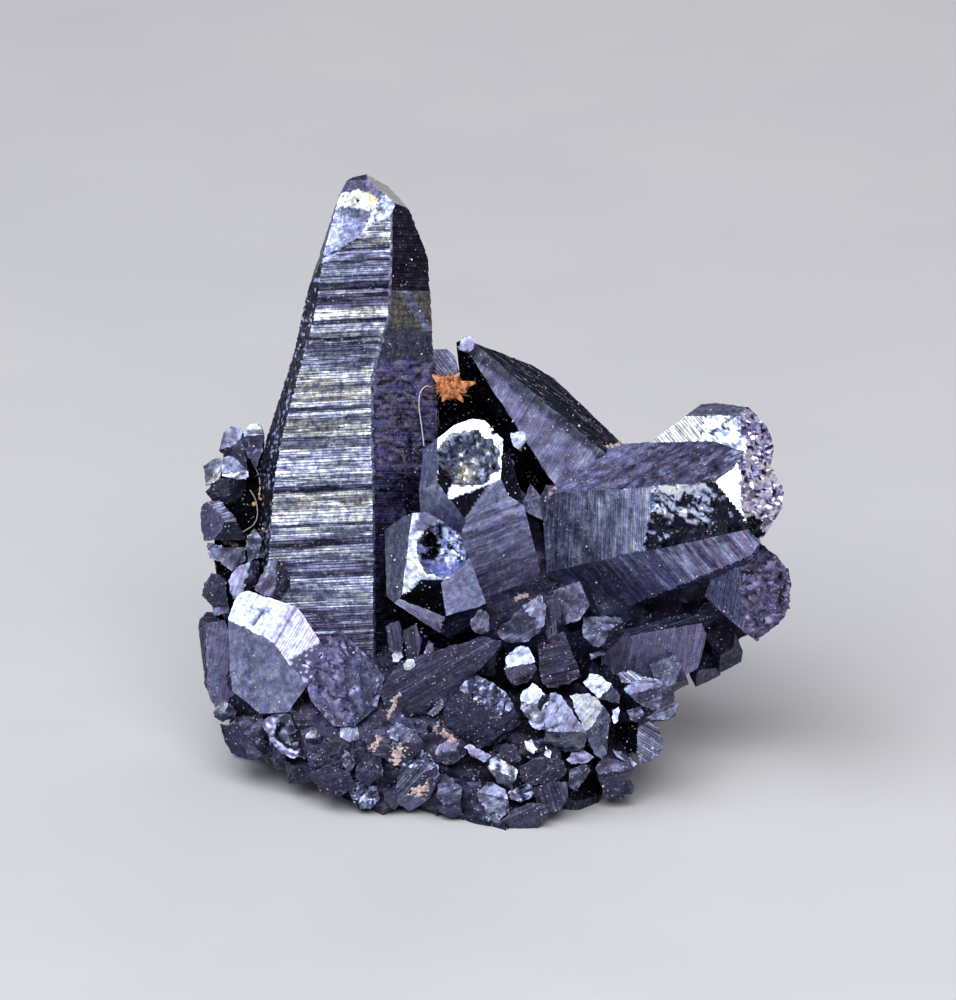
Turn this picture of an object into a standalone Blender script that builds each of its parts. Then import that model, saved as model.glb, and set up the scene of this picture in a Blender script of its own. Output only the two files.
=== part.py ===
"""Hematite crystal group about 30 mm across: one solid of crystals grown together, and a rust-stained tuft of lint
caught between three of them.

The group is laid out as a drawing along the spire, its tall striated crystal. On the drawing x runs to the right, y
down and depth away from the front, all in layout units of 0.05 mm. The finished group is then tipped back by LEAN,
the way it rests on its broken foot, cut flat where it grew on the rock, and centred over the origin.
"""

import math
import random

import bmesh
import bpy
import numpy as np
from mathutils import Matrix, Vector, noise

UNIT = 0.00005  # metres in a layout unit
LEAN = math.radians(20)
ORIGIN = (495, 830)  # the point of the drawing that rests lowest, at depth 0
CENTRE = (493, 190)  # middle of the leaning group, across and back, in layout units
SEED = 11
FALL = 0.05  # how much the unseen sides of a drawn crystal close in towards the back
NOTCH = 3  # the most that an unseen side may cut off a drawn crystal
SLOPE_WEIGHT = 30  # how firmly a face keeps the slope it was drawn with, against meeting its neighbours exactly

# A drawn crystal: depth of its first corner, thickness from front to back, the way it runs back into the group (right,
# back, up), and its faces. A face is its slope to the right and upwards, then its corners in order.
DRAWN = {
    "back_chip": (
        192,
        44,
        (0.0, 1.0, -0.3),
        [
            (0.05, 0.3, (430, 349), (447, 348), (456, 357), (462, 381), (429, 380)),
            (0.0, -0.6, (429, 380), (462, 381), (474, 450), (428, 450)),
        ],
    ),
    "fang": (
        142,
        96,
        (0.3, 1.0, -0.45),
        [
            (0.05, 0.06, (466, 349), (472, 341), (660, 500), (620, 540), (590, 540)),
            (0.85, 1.0, (472, 341), (500, 352), (530, 363), (556, 379), (582, 404), (604, 444), (670, 490),
             (660, 500)),
            (-0.9, -0.5, (466, 349), (590, 540), (540, 540), (462, 400), (457, 352)),
        ],
    ),
    "stub": (
        86,
        180,
        (0.25, 0.8, -0.5),
        [
            (-0.3, 0.45, (438, 440), (455, 425), (472, 419), (487, 421), (500, 436), (503, 480), (489, 484),
             (450, 499)),
            (-1.1, 0.0, (438, 440), (450, 499), (465, 519), (465, 533), (440, 540), (420, 530), (419, 476),
             (424, 446)),
            (-0.1, -0.75, (450, 499), (489, 484), (465, 519)),
            (0.25, -0.35, (489, 484), (503, 480), (508, 499), (465, 519)),
            (0.41, -0.9, (465, 519), (508, 499), (520, 498), (525, 513), (538, 550), (545, 584), (486, 616),
             (477, 588), (465, 533)),
            (1.5, -0.1, (500, 436), (508, 446), (516, 476), (520, 498), (508, 499), (503, 480)),
        ],
    ),
    "button": (
        50,
        190,
        (0.1, 0.95, -0.2),
        [
            (-0.1, 0.35, (414, 513), (426, 512), (441, 520), (460, 533), (466, 548), (464, 568), (456, 577),
             (442, 579), (428, 578), (404, 596), (399, 600)),
            (-1.3, 0.1, (385, 530), (411, 511), (414, 513), (399, 600), (387, 599)),
            (-0.1, -0.6, (404, 596), (428, 578), (442, 579), (442, 612)),
            (0.4, -0.2, (442, 579), (456, 577), (474, 590), (474, 604), (444, 619), (442, 612)),
            (-0.3, -1.1, (399, 600), (404, 596), (442, 612), (444, 619), (442, 634), (400, 604)),
            (0.4, -1.3, (444, 619), (474, 604), (485, 605), (489, 614), (450, 639), (442, 634)),
        ],
    ),
    "log": (
        135,
        190,
        (-0.75, 0.65, 0.0),
        [
            (-0.5, 0.0, (541, 495), (709, 483), (742, 514), (743, 524), (547, 576)),
            (-0.4, 1.6, (541, 495), (552, 474), (598, 452), (620, 443), (716, 441), (740, 451), (735, 470),
             (709, 483)),
            (0.3, 0.6, (709, 483), (735, 470), (746, 500), (742, 514)),
            (1.2, 0.1, (740, 451), (768, 461), (782, 486), (782, 506), (770, 524), (754, 538), (743, 524),
             (742, 514), (746, 500), (735, 470)),
            (-0.6, -1.2, (547, 576), (743, 524), (754, 538), (740, 556), (618, 615), (595, 604)),
            (-0.5, -2.6, (618, 615), (740, 556), (734, 577), (699, 600), (645, 613)),
        ],
    ),
    "top_right": (
        160,
        120,
        (-0.7, 0.7, -0.3),
        [
            (-0.35, 0.7, (654, 440), (684, 417), (738, 417), (748, 440), (754, 475), (660, 475)),
            (-0.1, 2.0, (684, 417), (697, 404), (725, 402), (748, 406), (738, 417)),
            (1.2, 0.3, (748, 406), (766, 422), (774, 438), (775, 452), (768, 475), (754, 475), (748, 440),
             (738, 417)),
        ],
    ),
    "low_right": (
        62,
        210,
        (-0.75, 0.65, 0.05),
        [
            (0.25, 0.1, (740, 560), (745, 548), (757, 540), (770, 551), (788, 569), (791, 586), (788, 608),
             (779, 624), (766, 633), (749, 631), (734, 619)),
            (-1.3, -0.5, (740, 560), (734, 619), (749, 631), (745, 634), (704, 596), (712, 575)),
        ],
    ),
    "block": (
        92,
        110,
        (-0.4, 0.9, 0.05),
        [
            (0.1, -0.35, (601, 658), (615, 644), (630, 636), (700, 622), (707, 630), (703, 650), (698, 668),
             (682, 677), (659, 668), (613, 674), (600, 668)),
            (0.1, 1.5, (615, 632), (690, 612), (700, 622), (630, 636)),
        ],
    ),
    "white_block": (
        90,
        150,
        (0.4, 0.9, -0.05),
        [
            (-0.25, 0.5, (230, 607), (240, 593), (250, 590), (273, 598), (296, 605), (275, 642), (229, 619)),
            (0.05, 0.38, (296, 605), (303, 613), (321, 641), (300, 648), (288, 660), (275, 642)),
            (-0.1, -0.3, (229, 619), (275, 642), (288, 660), (297, 700), (289, 711), (261, 713), (233, 690),
             (228, 650)),
        ],
    ),
    "violet_mound": (
        80,
        120,
        (0.0, 1.0, -0.1),
        [
            (-0.25, 0.25, (297, 670), (304, 655), (325, 643), (345, 645), (345, 680), (318, 700)),
            (0.45, 0.15, (345, 645), (368, 660), (382, 682), (378, 700), (345, 680)),
            (0.05, -0.5, (318, 700), (345, 680), (378, 700), (366, 716), (335, 728), (320, 716)),
        ],
    ),
    "left_slab": (
        124,
        90,
        (0.5, 0.9, 0.0),
        [
            (-0.1, -0.1, (206, 620), (226, 622), (225, 690), (230, 700), (214, 711), (207, 690)),
            (-0.5, 1.6, (197, 622), (206, 612), (222, 612), (226, 622), (206, 620)),
            (-1.6, -0.1, (197, 622), (206, 620), (207, 690), (205, 685), (201, 652)),
        ],
    ),
}

# The spire's outline from its tip down: y, then the four corners of its seen side (left shoulder, left edge and right
# edge of the broad front face, right shoulder), then how much deeper than the front the shoulders and the back lie.
SPIRE = (
    (160, 346, 348, 378, 396, 16, 44),
    (205, 330, 334, 391, 408, 22, 62),
    (257, 316, 324, 391, 428, 27, 76),
    (315, 302, 315, 389, 432, 32, 86),
    (345, 296, 308, 380, 433, 34, 92),
    (378, 286, 298, 372, 437, 36, 98),
    (440, 266, 282, 372, 438, 40, 106),
    (480, 257, 275, 373, 438, 43, 112),
    (560, 254, 269, 374, 438, 47, 124),
    (720, 250, 266, 374, 438, 54, 140),
)
SPIRE_DEPTH = 96
# Facets cut on the spire's tip: a point on each, then its slope to the right and upwards.
SPIRE_CUTS = (
    ((346, 247), -0.45, 0.55),
    ((372, 224), -0.2, 0.62),
    ((358, 186), -0.6, 3.0),
    ((385, 192), 3.5, 4.2),
    ((408, 208), 2.4, 3.6),
    ((424, 226), 9.0, 3.5),
    ((340, 200), -6.0, 2.0),
)
SPIRE_CUT_DEPTHS = (96, 96, 110, 108, 118, 124, 112)

# The core that the crystals stand on, level by level down: y, left, right, front and back depth.
CORE = (
    (452, 320, 490, 160, 200),
    (500, 244, 600, 160, 240),
    (560, 222, 660, 172, 268),
    (620, 212, 700, 134, 290),
    (670, 212, 676, 76, 300),
    (715, 228, 656, 44, 304),
    (755, 254, 636, 34, 304),
    (795, 362, 596, 22, 304),
    (822, 452, 552, 12, 304),
    (850, 470, 540, 8, 300),
)

# Broken pits in the ends of three crystals: x, y, depth, half width, half depth, the way the pit opens.
PITS = (
    (469, 459, 70, 29, 26, (-0.3, -1.0, 0.1)),
    (440, 552, 36, 23, 22, (-0.1, -1.0, 0.2)),
    (762, 589, 54, 26, 22, (0.1, -1.0, 0.1)),
)

# Small crystals that show from the front: x, y, depth, half width, half length, the way the long axis points (right,
# back, up), roll in degrees, then which shape of crystal it is.
SMALL = (
    # The left-hand column.
    (232, 446, 140, 17, 20, (0.1, -0.2, 1.0), 10, "prism"),
    (254, 440, 142, 12, 18, (0.05, -0.2, 1.0), 40, "prism"),
    (226, 468, 122, 17, 24, (-0.6, -0.6, 0.5), 0, "prism"),
    (222, 490, 128, 18, 22, (-0.3, -0.9, -0.1), 20, "rhomb"),
    (214, 512, 120, 16, 22, (-0.3, -0.8, 0.3), 30, "prism"),
    (232, 532, 132, 18, 22, (0.2, -0.8, -0.4), 0, "rhomb"),
    (214, 552, 116, 13, 16, (-0.4, -0.8, 0.3), 15, "rhomb"),
    (236, 554, 118, 15, 17, (0.0, -0.9, 0.2), 50, "rhomb"),
    (256, 546, 112, 9, 20, (0.1, -0.4, 0.9), 30, "prism"),
    (240, 582, 100, 15, 20, (-0.1, -0.7, 0.7), 10, "rhomb"),
    (216, 592, 112, 15, 18, (-0.5, -0.8, 0.1), 35, "rhomb"),
    (273, 576, 82, 17, 22, (0.15, -0.5, 0.85), 0, "rhomb"),
    # Below the left-hand slab.
    (225, 710, 108, 12, 14, (-0.3, -0.9, 0.2), 0, "rhomb"),
    (238, 738, 104, 17, 22, (-0.6, -0.5, -0.5), 20, "prism"),
    (256, 746, 96, 13, 16, (0.3, -0.8, -0.4), 45, "rhomb"),
    (240, 672, 96, 13, 17, (-0.2, -0.9, 0.0), 0, "rhomb"),
    (298, 734, 66, 28, 24, (-0.2, -0.85, -0.35), 15, "plate"),
    (315, 737, 56, 10, 11, (0.1, -0.9, 0.1), 5, "rhomb"),
    (299, 771, 84, 11, 12, (-0.1, -0.9, 0.1), 0, "rhomb"),
    (272, 752, 90, 12, 14, (-0.1, -0.9, -0.3), 30, "rhomb"),
    (330, 762, 62, 20, 22, (-0.1, -0.9, -0.2), 10, "rhomb"),
    (350, 728, 52, 17, 18, (0.2, -0.9, 0.2), 25, "rhomb"),
    (362, 762, 48, 18, 20, (-0.2, -0.9, 0.1), 0, "rhomb"),
    (364, 792, 44, 17, 18, (-0.3, -0.8, -0.4), 30, "rhomb"),
    (386, 745, 40, 17, 19, (0.1, -0.9, 0.2), 15, "rhomb"),
    (417, 775, 30, 25, 26, (-0.35, -0.85, 0.3), 20, "prism"),
    (400, 797, 36, 15, 16, (-0.1, -0.8, -0.5), 0, "rhomb"),
    (384, 640, 66, 16, 22, (0.0, -0.7, 0.7), 0, "rhomb"),
    (404, 640, 58, 17, 26, (0.1, -0.7, 0.7), 20, "prism"),
    (398, 655, 44, 7, 7, (0.0, -0.9, 0.3), 0, "rhomb"),
    (411, 662, 42, 7, 7, (0.0, -0.9, 0.3), 30, "rhomb"),
    (390, 700, 50, 20, 22, (0.1, -0.9, 0.2), 5, "rhomb"),
    # The fang's rounded tip.
    (465, 343, 141, 8, 8, (-0.4, -0.3, 0.8), 0, "rhomb"),
    # The middle of the foot.
    (434, 692, 38, 13, 46, (0.82, -0.3, 0.45), 0, "prism"),
    (448, 655, 52, 24, 30, (0.6, -0.6, 0.5), 10, "prism"),
    (480, 640, 52, 18, 24, (0.2, -0.8, 0.5), 30, "rhomb"),
    (518, 618, 48, 17, 36, (0.68, -0.35, 0.6), 20, "prism"),
    (520, 660, 34, 15, 20, (-0.1, -0.85, 0.5), 10, "prism"),
    (552, 655, 52, 20, 36, (0.1, 0.25, 0.95), 0, "prism"),
    (548, 612, 58, 11, 26, (0.1, -0.3, 0.9), 30, "prism"),
    (482, 702, 28, 26, 36, (-0.35, -0.75, 0.5), 10, "prism"),
    (463, 732, 26, 18, 26, (-0.6, -0.6, 0.3), 30, "prism"),
    (510, 738, 26, 17, 22, (0.0, -0.9, 0.3), 0, "rhomb"),
    (531, 705, 24, 12, 14, (-0.1, -0.9, 0.3), 20, "rhomb"),
    (558, 712, 18, 24, 24, (-0.2, -0.75, 0.6), 5, "rhomb"),
    (593, 714, 26, 22, 28, (0.1, -0.7, 0.6), 35, "rhomb"),
    (597, 682, 36, 15, 17, (0.0, -0.8, 0.6), 10, "rhomb"),
    (592, 628, 68, 20, 26, (0.75, -0.5, 0.2), 15, "prism"),
    (604, 626, 72, 17, 20, (0.8, -0.4, 0.3), 0, "prism"),
    (648, 690, 52, 20, 30, (0.93, -0.25, -0.1), 0, "prism"),
    (636, 713, 52, 13, 14, (0.0, -0.9, 0.2), 10, "rhomb"),
    (668, 712, 66, 11, 16, (0.9, -0.3, 0.1), 10, "rhomb"),
    (646, 742, 52, 17, 22, (0.75, -0.5, -0.1), 10, "prism"),
    (614, 766, 42, 15, 22, (0.9, -0.3, 0.2), 20, "prism"),
    (612, 790, 48, 10, 20, (0.9, -0.3, 0.2), 10, "rhomb"),
    (580, 752, 30, 14, 18, (0.3, -0.8, 0.1), 40, "rhomb"),
    (555, 745, 24, 15, 18, (0.1, -0.9, 0.1), 10, "rhomb"),
    (504, 768, 12, 12, 22, (0.6, -0.6, -0.5), 0, "prism"),
    (490, 800, 8, 18, 22, (0.2, -0.6, 0.7), 20, "prism"),
    (480, 776, 20, 15, 18, (0.0, -0.9, 0.2), 0, "rhomb"),
    (452, 752, 26, 18, 20, (-0.3, -0.8, 0.1), 15, "rhomb"),
    (447, 795, 22, 18, 20, (-0.4, -0.7, 0.3), 40, "rhomb"),
    (540, 768, 18, 18, 20, (0.2, -0.9, 0.2), 30, "rhomb"),
    (548, 795, 20, 14, 26, (0.3, -0.2, 0.9), 0, "prism"),
    (562, 780, 26, 14, 24, (0.3, -0.3, 0.9), 20, "prism"),
    (523, 816, 8, 12, 28, (0.85, -0.3, 0.35), 10, "plate"),
    (518, 795, 12, 12, 14, (0.2, -0.8, 0.2), 0, "rhomb"),
    # Behind the lower right.
    (702, 664, 150, 14, 18, (0.6, -0.5, 0.1), 0, "rhomb"),
    (722, 648, 140, 13, 20, (0.8, -0.4, 0.2), 20, "rhomb"),
    (668, 676, 110, 15, 20, (0.6, -0.6, -0.1), 0, "rhomb"),
    (690, 632, 110, 14, 26, (0.8, -0.5, 0.2), 0, "prism"),
    (575, 605, 96, 18, 24, (0.5, -0.6, -0.2), 0, "rhomb"),
    (462, 486, 158, 26, 56, (0.1, 0.2, 0.9), 0, "prism"),
    # The larger ones on the back.
    (470, 570, 240, 34, 80, (-0.2, 0.8, 0.6), 0, "prism"),
    (566, 604, 262, 30, 66, (0.4, 0.8, 0.35), 20, "prism"),
    (340, 640, 280, 28, 60, (-0.3, 0.85, 0.45), 10, "prism"),
    (420, 694, 300, 30, 50, (0.1, 0.9, 0.1), 30, "rhomb"),
    (628, 676, 250, 26, 64, (0.75, 0.6, 0.1), 0, "prism"),
    (272, 560, 220, 26, 54, (-0.6, 0.6, 0.55), 15, "prism"),
)


def plane_slopes(faces, depth):
    """Each face as depth = a*x + b*up + c, fitted so that neighbours meet along the edges they share."""
    centre = np.mean([p for face in faces for p in face[2:]], axis=0)
    rows, values = [], []

    def add(weight, value, *terms):
        row = np.zeros(3 * len(faces))
        for column, amount in terms:
            row[column] += amount
        rows.append(row * weight)
        values.append(value * weight)

    for k, face in enumerate(faces):
        add(SLOPE_WEIGHT, face[0], (3 * k, 1))
        add(SLOPE_WEIGHT, face[1], (3 * k + 1, 1))
        for n in range(k):
            for x, y in set(face[2:]) & set(faces[n][2:]):
                u, v = x - centre[0], centre[1] - y
                add(1.0, 0, (3 * k, u), (3 * k + 1, v), (3 * k + 2, 1), (3 * n, -u), (3 * n + 1, -v), (3 * n + 2, -1))
    x, y = faces[0][2]
    add(10.0, depth, (0, x - centre[0]), (1, centre[1] - y), (2, 1))
    fit = np.linalg.lstsq(np.array(rows), np.array(values), rcond=None)[0].reshape(-1, 3)
    return [tuple(row) for row in fit], centre


def drawn_planes(depth, thickness, run, faces):
    """Outward planes, as (normal, point) in drawing axes right, back and up, that bound a drawn crystal."""
    slopes, centre = plane_slopes(faces, depth)
    corners, planes = [], []
    used = {}
    for (a, b, c), face in zip(slopes, faces):
        ring = [Vector((x - centre[0], a * (x - centre[0]) + b * (centre[1] - y) + c, centre[1] - y)) for x, y in face[2:]]
        corners += ring
        planes.append((Vector((a, -1, b)).normalized(), sum(ring, Vector()) / len(ring)))
        area = sum(p.x * q.z - q.x * p.z for p, q in zip(ring, ring[1:] + ring[:1]))
        for k in range(len(ring)):
            pair = (face[2 + k], face[2 + (k + 1) % len(ring)])
            ends = (ring[k], ring[(k + 1) % len(ring)])
            used.setdefault(frozenset(pair), []).append(ends if area > 0 else ends[::-1])
    run = Vector(run).normalized()
    sides = []
    for ends in used.values():
        if len(ends) > 1:
            continue
        p, q = ends[0]
        out = Vector((q.z - p.z, 0, p.x - q.x)).normalized()
        aim = run - out * (max(0.0, run.dot(out)) + FALL)
        for share in (1.0, 0.8, 0.6, 0.4, 0.2, 0.0):
            normal = (q - p).cross(aim * share + Vector((0, 1 - share, 0))).normalized()
            normal = normal if normal.dot(out) > 0 else -normal
            if max(normal.dot(corner - p) for corner in corners) < NOTCH:
                sides.append((normal, p))
                break
    middle = Vector((0, depth + thickness / 2, 0))
    closing = []
    for normal, point in planes:
        far = 2 * middle - point
        reach = max(max(-normal.dot(corner) for corner in corners) + 4, -normal.dot(far))
        closing.append((-normal, -normal * reach))
    closing.append((Vector((0, 1, 0)), Vector((0, depth + thickness, 0))))
    shift = Vector((centre[0] - ORIGIN[0], 0, ORIGIN[1] - centre[1]))
    return [(normal, point + shift) for normal, point in planes + sides + closing]


def cut_off(bm, normal, point):
    """Cuts away what lies beyond a plane, and closes the cut with one flat face."""
    made = bmesh.ops.bisect_plane(
        bm,
        geom=bm.verts[:] + bm.edges[:] + bm.faces[:],
        plane_co=point,
        plane_no=normal,
        clear_outer=True,
        dist=0.01,
    )
    edges = [item for item in made["geom_cut"] if isinstance(item, bmesh.types.BMEdge) and item.is_boundary]
    if edges:
        bmesh.ops.edgeloop_fill(bm, edges=edges)


def solid_of_planes(planes, centre, reach=700):
    bm = bmesh.new()
    bmesh.ops.create_cube(bm, size=2 * reach)
    bmesh.ops.translate(bm, verts=bm.verts, vec=centre)
    for normal, point in planes:
        cut_off(bm, normal, point)
    return bm


def spire_solid():
    """The spire, ring by ring, then the facets of its broken tip."""
    bm = bmesh.new()
    rings = []
    for y, left, front_left, front_right, right, shoulder, back in SPIRE:
        up = ORIGIN[1] - y
        across = right - left
        section = (
            (left, shoulder),
            (front_left, 0),
            (front_right, 0),
            (right, shoulder),
            (right - 0.22 * across, back),
            (left + 0.2 * across, back - 6),
        )
        rings.append([bm.verts.new((x - ORIGIN[0], SPIRE_DEPTH + deep, up)) for x, deep in section])
    bm.faces.new(rings[0])
    bm.faces.new(reversed(rings[-1]))
    for high, low in zip(rings, rings[1:]):
        for k in range(6):
            n = (k + 1) % 6
            bm.faces.new((high[k], low[k], low[n], high[n]))
    bmesh.ops.recalc_face_normals(bm, faces=bm.faces)
    for (corner, a, b), depth in zip(SPIRE_CUTS, SPIRE_CUT_DEPTHS):
        x, y = corner
        cut_off(bm, Vector((a, -1, b)).normalized(), Vector((x - ORIGIN[0], depth, ORIGIN[1] - y)))
    return bm


def crystal_planes(kind, width, length, rng):
    """Outward planes of a small crystal standing along z at the origin."""
    planes = []
    if kind in ("prism", "plate"):
        for k in range(6):
            angle = math.radians(60 * k + rng.uniform(-5, 5))
            normal = Vector((math.cos(angle), math.sin(angle), 0.12))
            planes.append((normal.normalized(), normal.normalized() * width * rng.uniform(0.85, 1.05)))
        steep = 1.1
    else:
        steep = 0.75
    for end in (1, -1):
        for k in range(3):
            angle = math.radians(120 * k + (0 if end == 1 else 60) + 30 + rng.uniform(-8, 8))
            normal = Vector((math.cos(angle), math.sin(angle), end * steep)).normalized()
            reach = length * (0.78 if kind == "prism" else 0.86) * rng.uniform(0.88, 1.08)
            if kind == "rhomb":
                reach = 0.5 * (width + length) * rng.uniform(0.72, 0.92)
            planes.append((normal, normal * reach))
        flat = length * rng.uniform(0.75, 0.95) * (0.45 if kind == "plate" else 1)
        normal = Vector((rng.uniform(-0.1, 0.1), rng.uniform(-0.1, 0.1), end)).normalized()
        planes.append((normal, normal * flat))
    return planes


def small_solid(x, y, depth, width, length, axis, roll, kind, rng):
    along = Vector(axis).normalized()
    side = Vector((1, 0, 0)) if abs(along.x) < 0.8 else Vector((0, 0, 1))
    across = (side - along * side.dot(along)).normalized()
    turn = Matrix((across, along.cross(across), along)).transposed() @ Matrix.Rotation(math.radians(roll), 3, "Z")
    centre = Vector((x - ORIGIN[0], depth, ORIGIN[1] - y))
    planes = [(turn @ normal, turn @ point + centre) for normal, point in crystal_planes(kind, width, length, rng)]
    return solid_of_planes(planes, centre, 200)


def core_solid(rng):
    """The lumpy core, a ring of ten corners at each level, each corner moved a little."""
    bm = bmesh.new()
    rings = []
    for y, left, right, front, back in CORE:
        ring = []
        for k in range(10):
            angle = math.radians(36 * k + 18)
            squared = [math.copysign(abs(v) ** 0.7, v) for v in (math.cos(angle), math.sin(angle))]
            x = (left + right) / 2 + squared[0] * (right - left) / 2 + rng.uniform(-5, 5)
            deep = (front + back) / 2 - squared[1] * (back - front) / 2 + rng.uniform(-4, 4)
            ring.append(bm.verts.new((x - ORIGIN[0], deep, ORIGIN[1] - y + rng.uniform(-3, 3))))
        rings.append(ring)
    bm.faces.new(rings[0])
    bm.faces.new(reversed(rings[-1]))
    for high, low in zip(rings, rings[1:]):
        for k in range(10):
            n = (k + 1) % 10
            bm.faces.new((high[k], low[k], low[n], high[n]))
    bmesh.ops.triangulate(bm, faces=bm.faces)
    bmesh.ops.recalc_face_normals(bm, faces=bm.faces)
    return bm


def scattered(rng):
    """Small crystals all over the core where it doesn't show from the front: the sides, the back and the foot."""
    rows = []
    for level in range(11):
        y = 470 + 32 * level
        low = max(k for k in range(len(CORE) - 1) if CORE[k][0] <= y)
        share = (y - CORE[low][0]) / (CORE[low + 1][0] - CORE[low][0])
        left, right, front, back = (
            CORE[low][k] + share * (CORE[low + 1][k] - CORE[low][k]) for k in range(1, 5)
        )
        for k in range(14):
            angle = math.radians(-38 + 19.7 * k + rng.uniform(-7, 7))
            squared = [math.copysign(abs(v) ** 0.7, v) for v in (math.cos(angle), math.sin(angle))]
            x = (left + right) / 2 + squared[0] * (right - left) / 2 * 0.97
            deep = (front + back) / 2 + squared[1] * (back - front) / 2
            if deep > 2.6 * (ORIGIN[1] - y) + 20:
                continue
            if squared[1] < -0.2 and (x < 260 or x > 640):
                continue
            width = rng.uniform(15, 30)
            axis = (squared[0] + rng.uniform(-0.5, 0.5), squared[1] + rng.uniform(-0.5, 0.5), rng.uniform(-0.5, 0.8))
            inset = 8 if squared[1] > 0 else 16
            x -= inset * squared[0]
            kind = rng.choice(("prism", "rhomb", "rhomb", "plate"))
            rows.append((x, y + rng.uniform(-12, 12), deep - inset * squared[1], width, width * rng.uniform(1.0, 1.6),
                         axis, rng.uniform(0, 60), kind))
    return rows


def add_object(bm, name):
    mesh = bpy.data.meshes.new(name)
    bm.to_mesh(mesh)
    bm.free()
    obj = bpy.data.objects.new(name, mesh)
    bpy.context.scene.collection.objects.link(obj)
    return obj


def combine(base, others, operation):
    """The base with all the others joined to it, or cut from it, in one exact Boolean."""
    group = bpy.data.collections.new("others")
    for other in others:
        group.objects.link(other)
    step = base.modifiers.new("grown", "BOOLEAN")
    step.operation = operation
    step.solver = "EXACT"
    step.operand_type = "COLLECTION"
    step.collection = group
    bpy.context.view_layer.update()
    made = base.evaluated_get(bpy.context.evaluated_depsgraph_get())
    bm = bmesh.new()
    bm.from_mesh(made.to_mesh())
    made.to_mesh_clear()
    for item in [base, *others]:
        bpy.data.objects.remove(item)
    bpy.data.collections.remove(group)
    return bm


def keep_outer_shell(bm):
    """Keeps the largest shell and drops the closed pockets left between crystals."""
    bm.verts.index_update()
    seen, shells = set(), []
    for start in bm.verts:
        if start in seen:
            continue
        shell, stack = {start}, [start]
        while stack:
            for edge in stack.pop().link_edges:
                for vert in edge.verts:
                    if vert not in shell:
                        shell.add(vert)
                        stack.append(vert)
        seen |= shell
        shells.append(shell)
    shells.sort(key=len)
    bmesh.ops.delete(bm, geom=[vert for shell in shells[:-1] for vert in shell], context="VERTS")


def paint(obj, colour, metallic, roughness):
    material = bpy.data.materials.new(obj.name)
    material.use_nodes = True
    shader = material.node_tree.nodes["Principled BSDF"]
    shader.inputs["Base Color"].default_value = (*colour, 1)
    shader.inputs["Metallic"].default_value = metallic
    shader.inputs["Roughness"].default_value = roughness
    obj.data.materials.clear()
    obj.data.materials.append(material)


def tip_back(bm):
    """From the drawing's axes to the resting model's, still in layout units."""
    bmesh.ops.rotate(bm, verts=bm.verts, matrix=Matrix.Rotation(-LEAN, 3, "X"))
    bmesh.ops.translate(bm, verts=bm.verts, vec=(ORIGIN[0] - CENTRE[0], -CENTRE[1], 0))


def tuft_solid():
    """A small blob with arms that reach out over the three crystals round it."""
    bm = bmesh.new()
    bmesh.ops.create_icosphere(bm, subdivisions=3, radius=1)
    arms = ((-1.0, 0.72, 15), (0.45, 0.95, 12), (0.98, 0.12, 20), (0.85, -0.62, 17), (-0.45, -0.9, 12), (-0.95, 0.1, 8))
    for vert in bm.verts:
        away = vert.co.copy()
        reach = 10.5
        for right, up, extra in arms:
            aim = Vector((right, 0, up)).normalized()
            reach += extra * max(0.0, away.dot(aim)) ** 14
        reach += 1.2 * noise.noise(away * 3)
        vert.co = Vector((away.x * reach * 1.05, away.y * 6, away.z * reach * 0.95))
    bmesh.ops.translate(bm, verts=bm.verts, vec=(449 - ORIGIN[0], 150, ORIGIN[1] - 388))
    return bm


def main():
    for item in list(bpy.data.objects):
        bpy.data.objects.remove(item)
    rng = random.Random(SEED)
    others = [add_object(spire_solid(), "spire")]
    for name, (depth, thickness, run, faces) in DRAWN.items():
        planes = drawn_planes(depth, thickness, run, faces)
        others.append(add_object(solid_of_planes(planes, planes[0][1]), name))
    for k, row in enumerate(SMALL + tuple(scattered(rng))):
        others.append(add_object(small_solid(*row, rng), f"small_{k}"))
    joined = combine(add_object(core_solid(rng), "core"), others, "UNION")
    keep_outer_shell(joined)
    pits = []
    for k, (x, y, depth, width, half_depth, axis) in enumerate(PITS):
        pits.append(add_object(small_solid(x, y, depth, width, half_depth, axis, 15 * k, "rhomb", rng), f"pit_{k}"))
    cluster = combine(add_object(joined, "joined"), pits, "DIFFERENCE")
    tip_back(cluster)
    cut_off(cluster, Vector((0, 0, -1)), Vector((0, 0, 0)))
    keep_outer_shell(cluster)
    bmesh.ops.triangulate(cluster, faces=cluster.faces)
    bmesh.ops.scale(cluster, verts=cluster.verts, vec=(UNIT, UNIT, UNIT))
    paint(add_object(cluster, "hematite_cluster"), (0.09, 0.09, 0.12), 0.9, 0.3)
    tuft = tuft_solid()
    tip_back(tuft)
    bmesh.ops.scale(tuft, verts=tuft.verts, vec=(UNIT, UNIT, UNIT))
    paint(add_object(tuft, "rust_tuft"), (0.62, 0.24, 0.1), 0.0, 0.8)


main()
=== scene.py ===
"""A hematite crystal group: a leaning spire, blunt prisms and the field of small crystals grown round their
feet, with the dust, the lint and the rust that have settled on them."""

import math
import random
from bisect import bisect_right
from collections import namedtuple
from dataclasses import dataclass, replace

import bmesh
import bpy
import numpy as np
from mathutils import Matrix, Vector, noise
from mathutils.bvhtree import BVHTree


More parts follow.
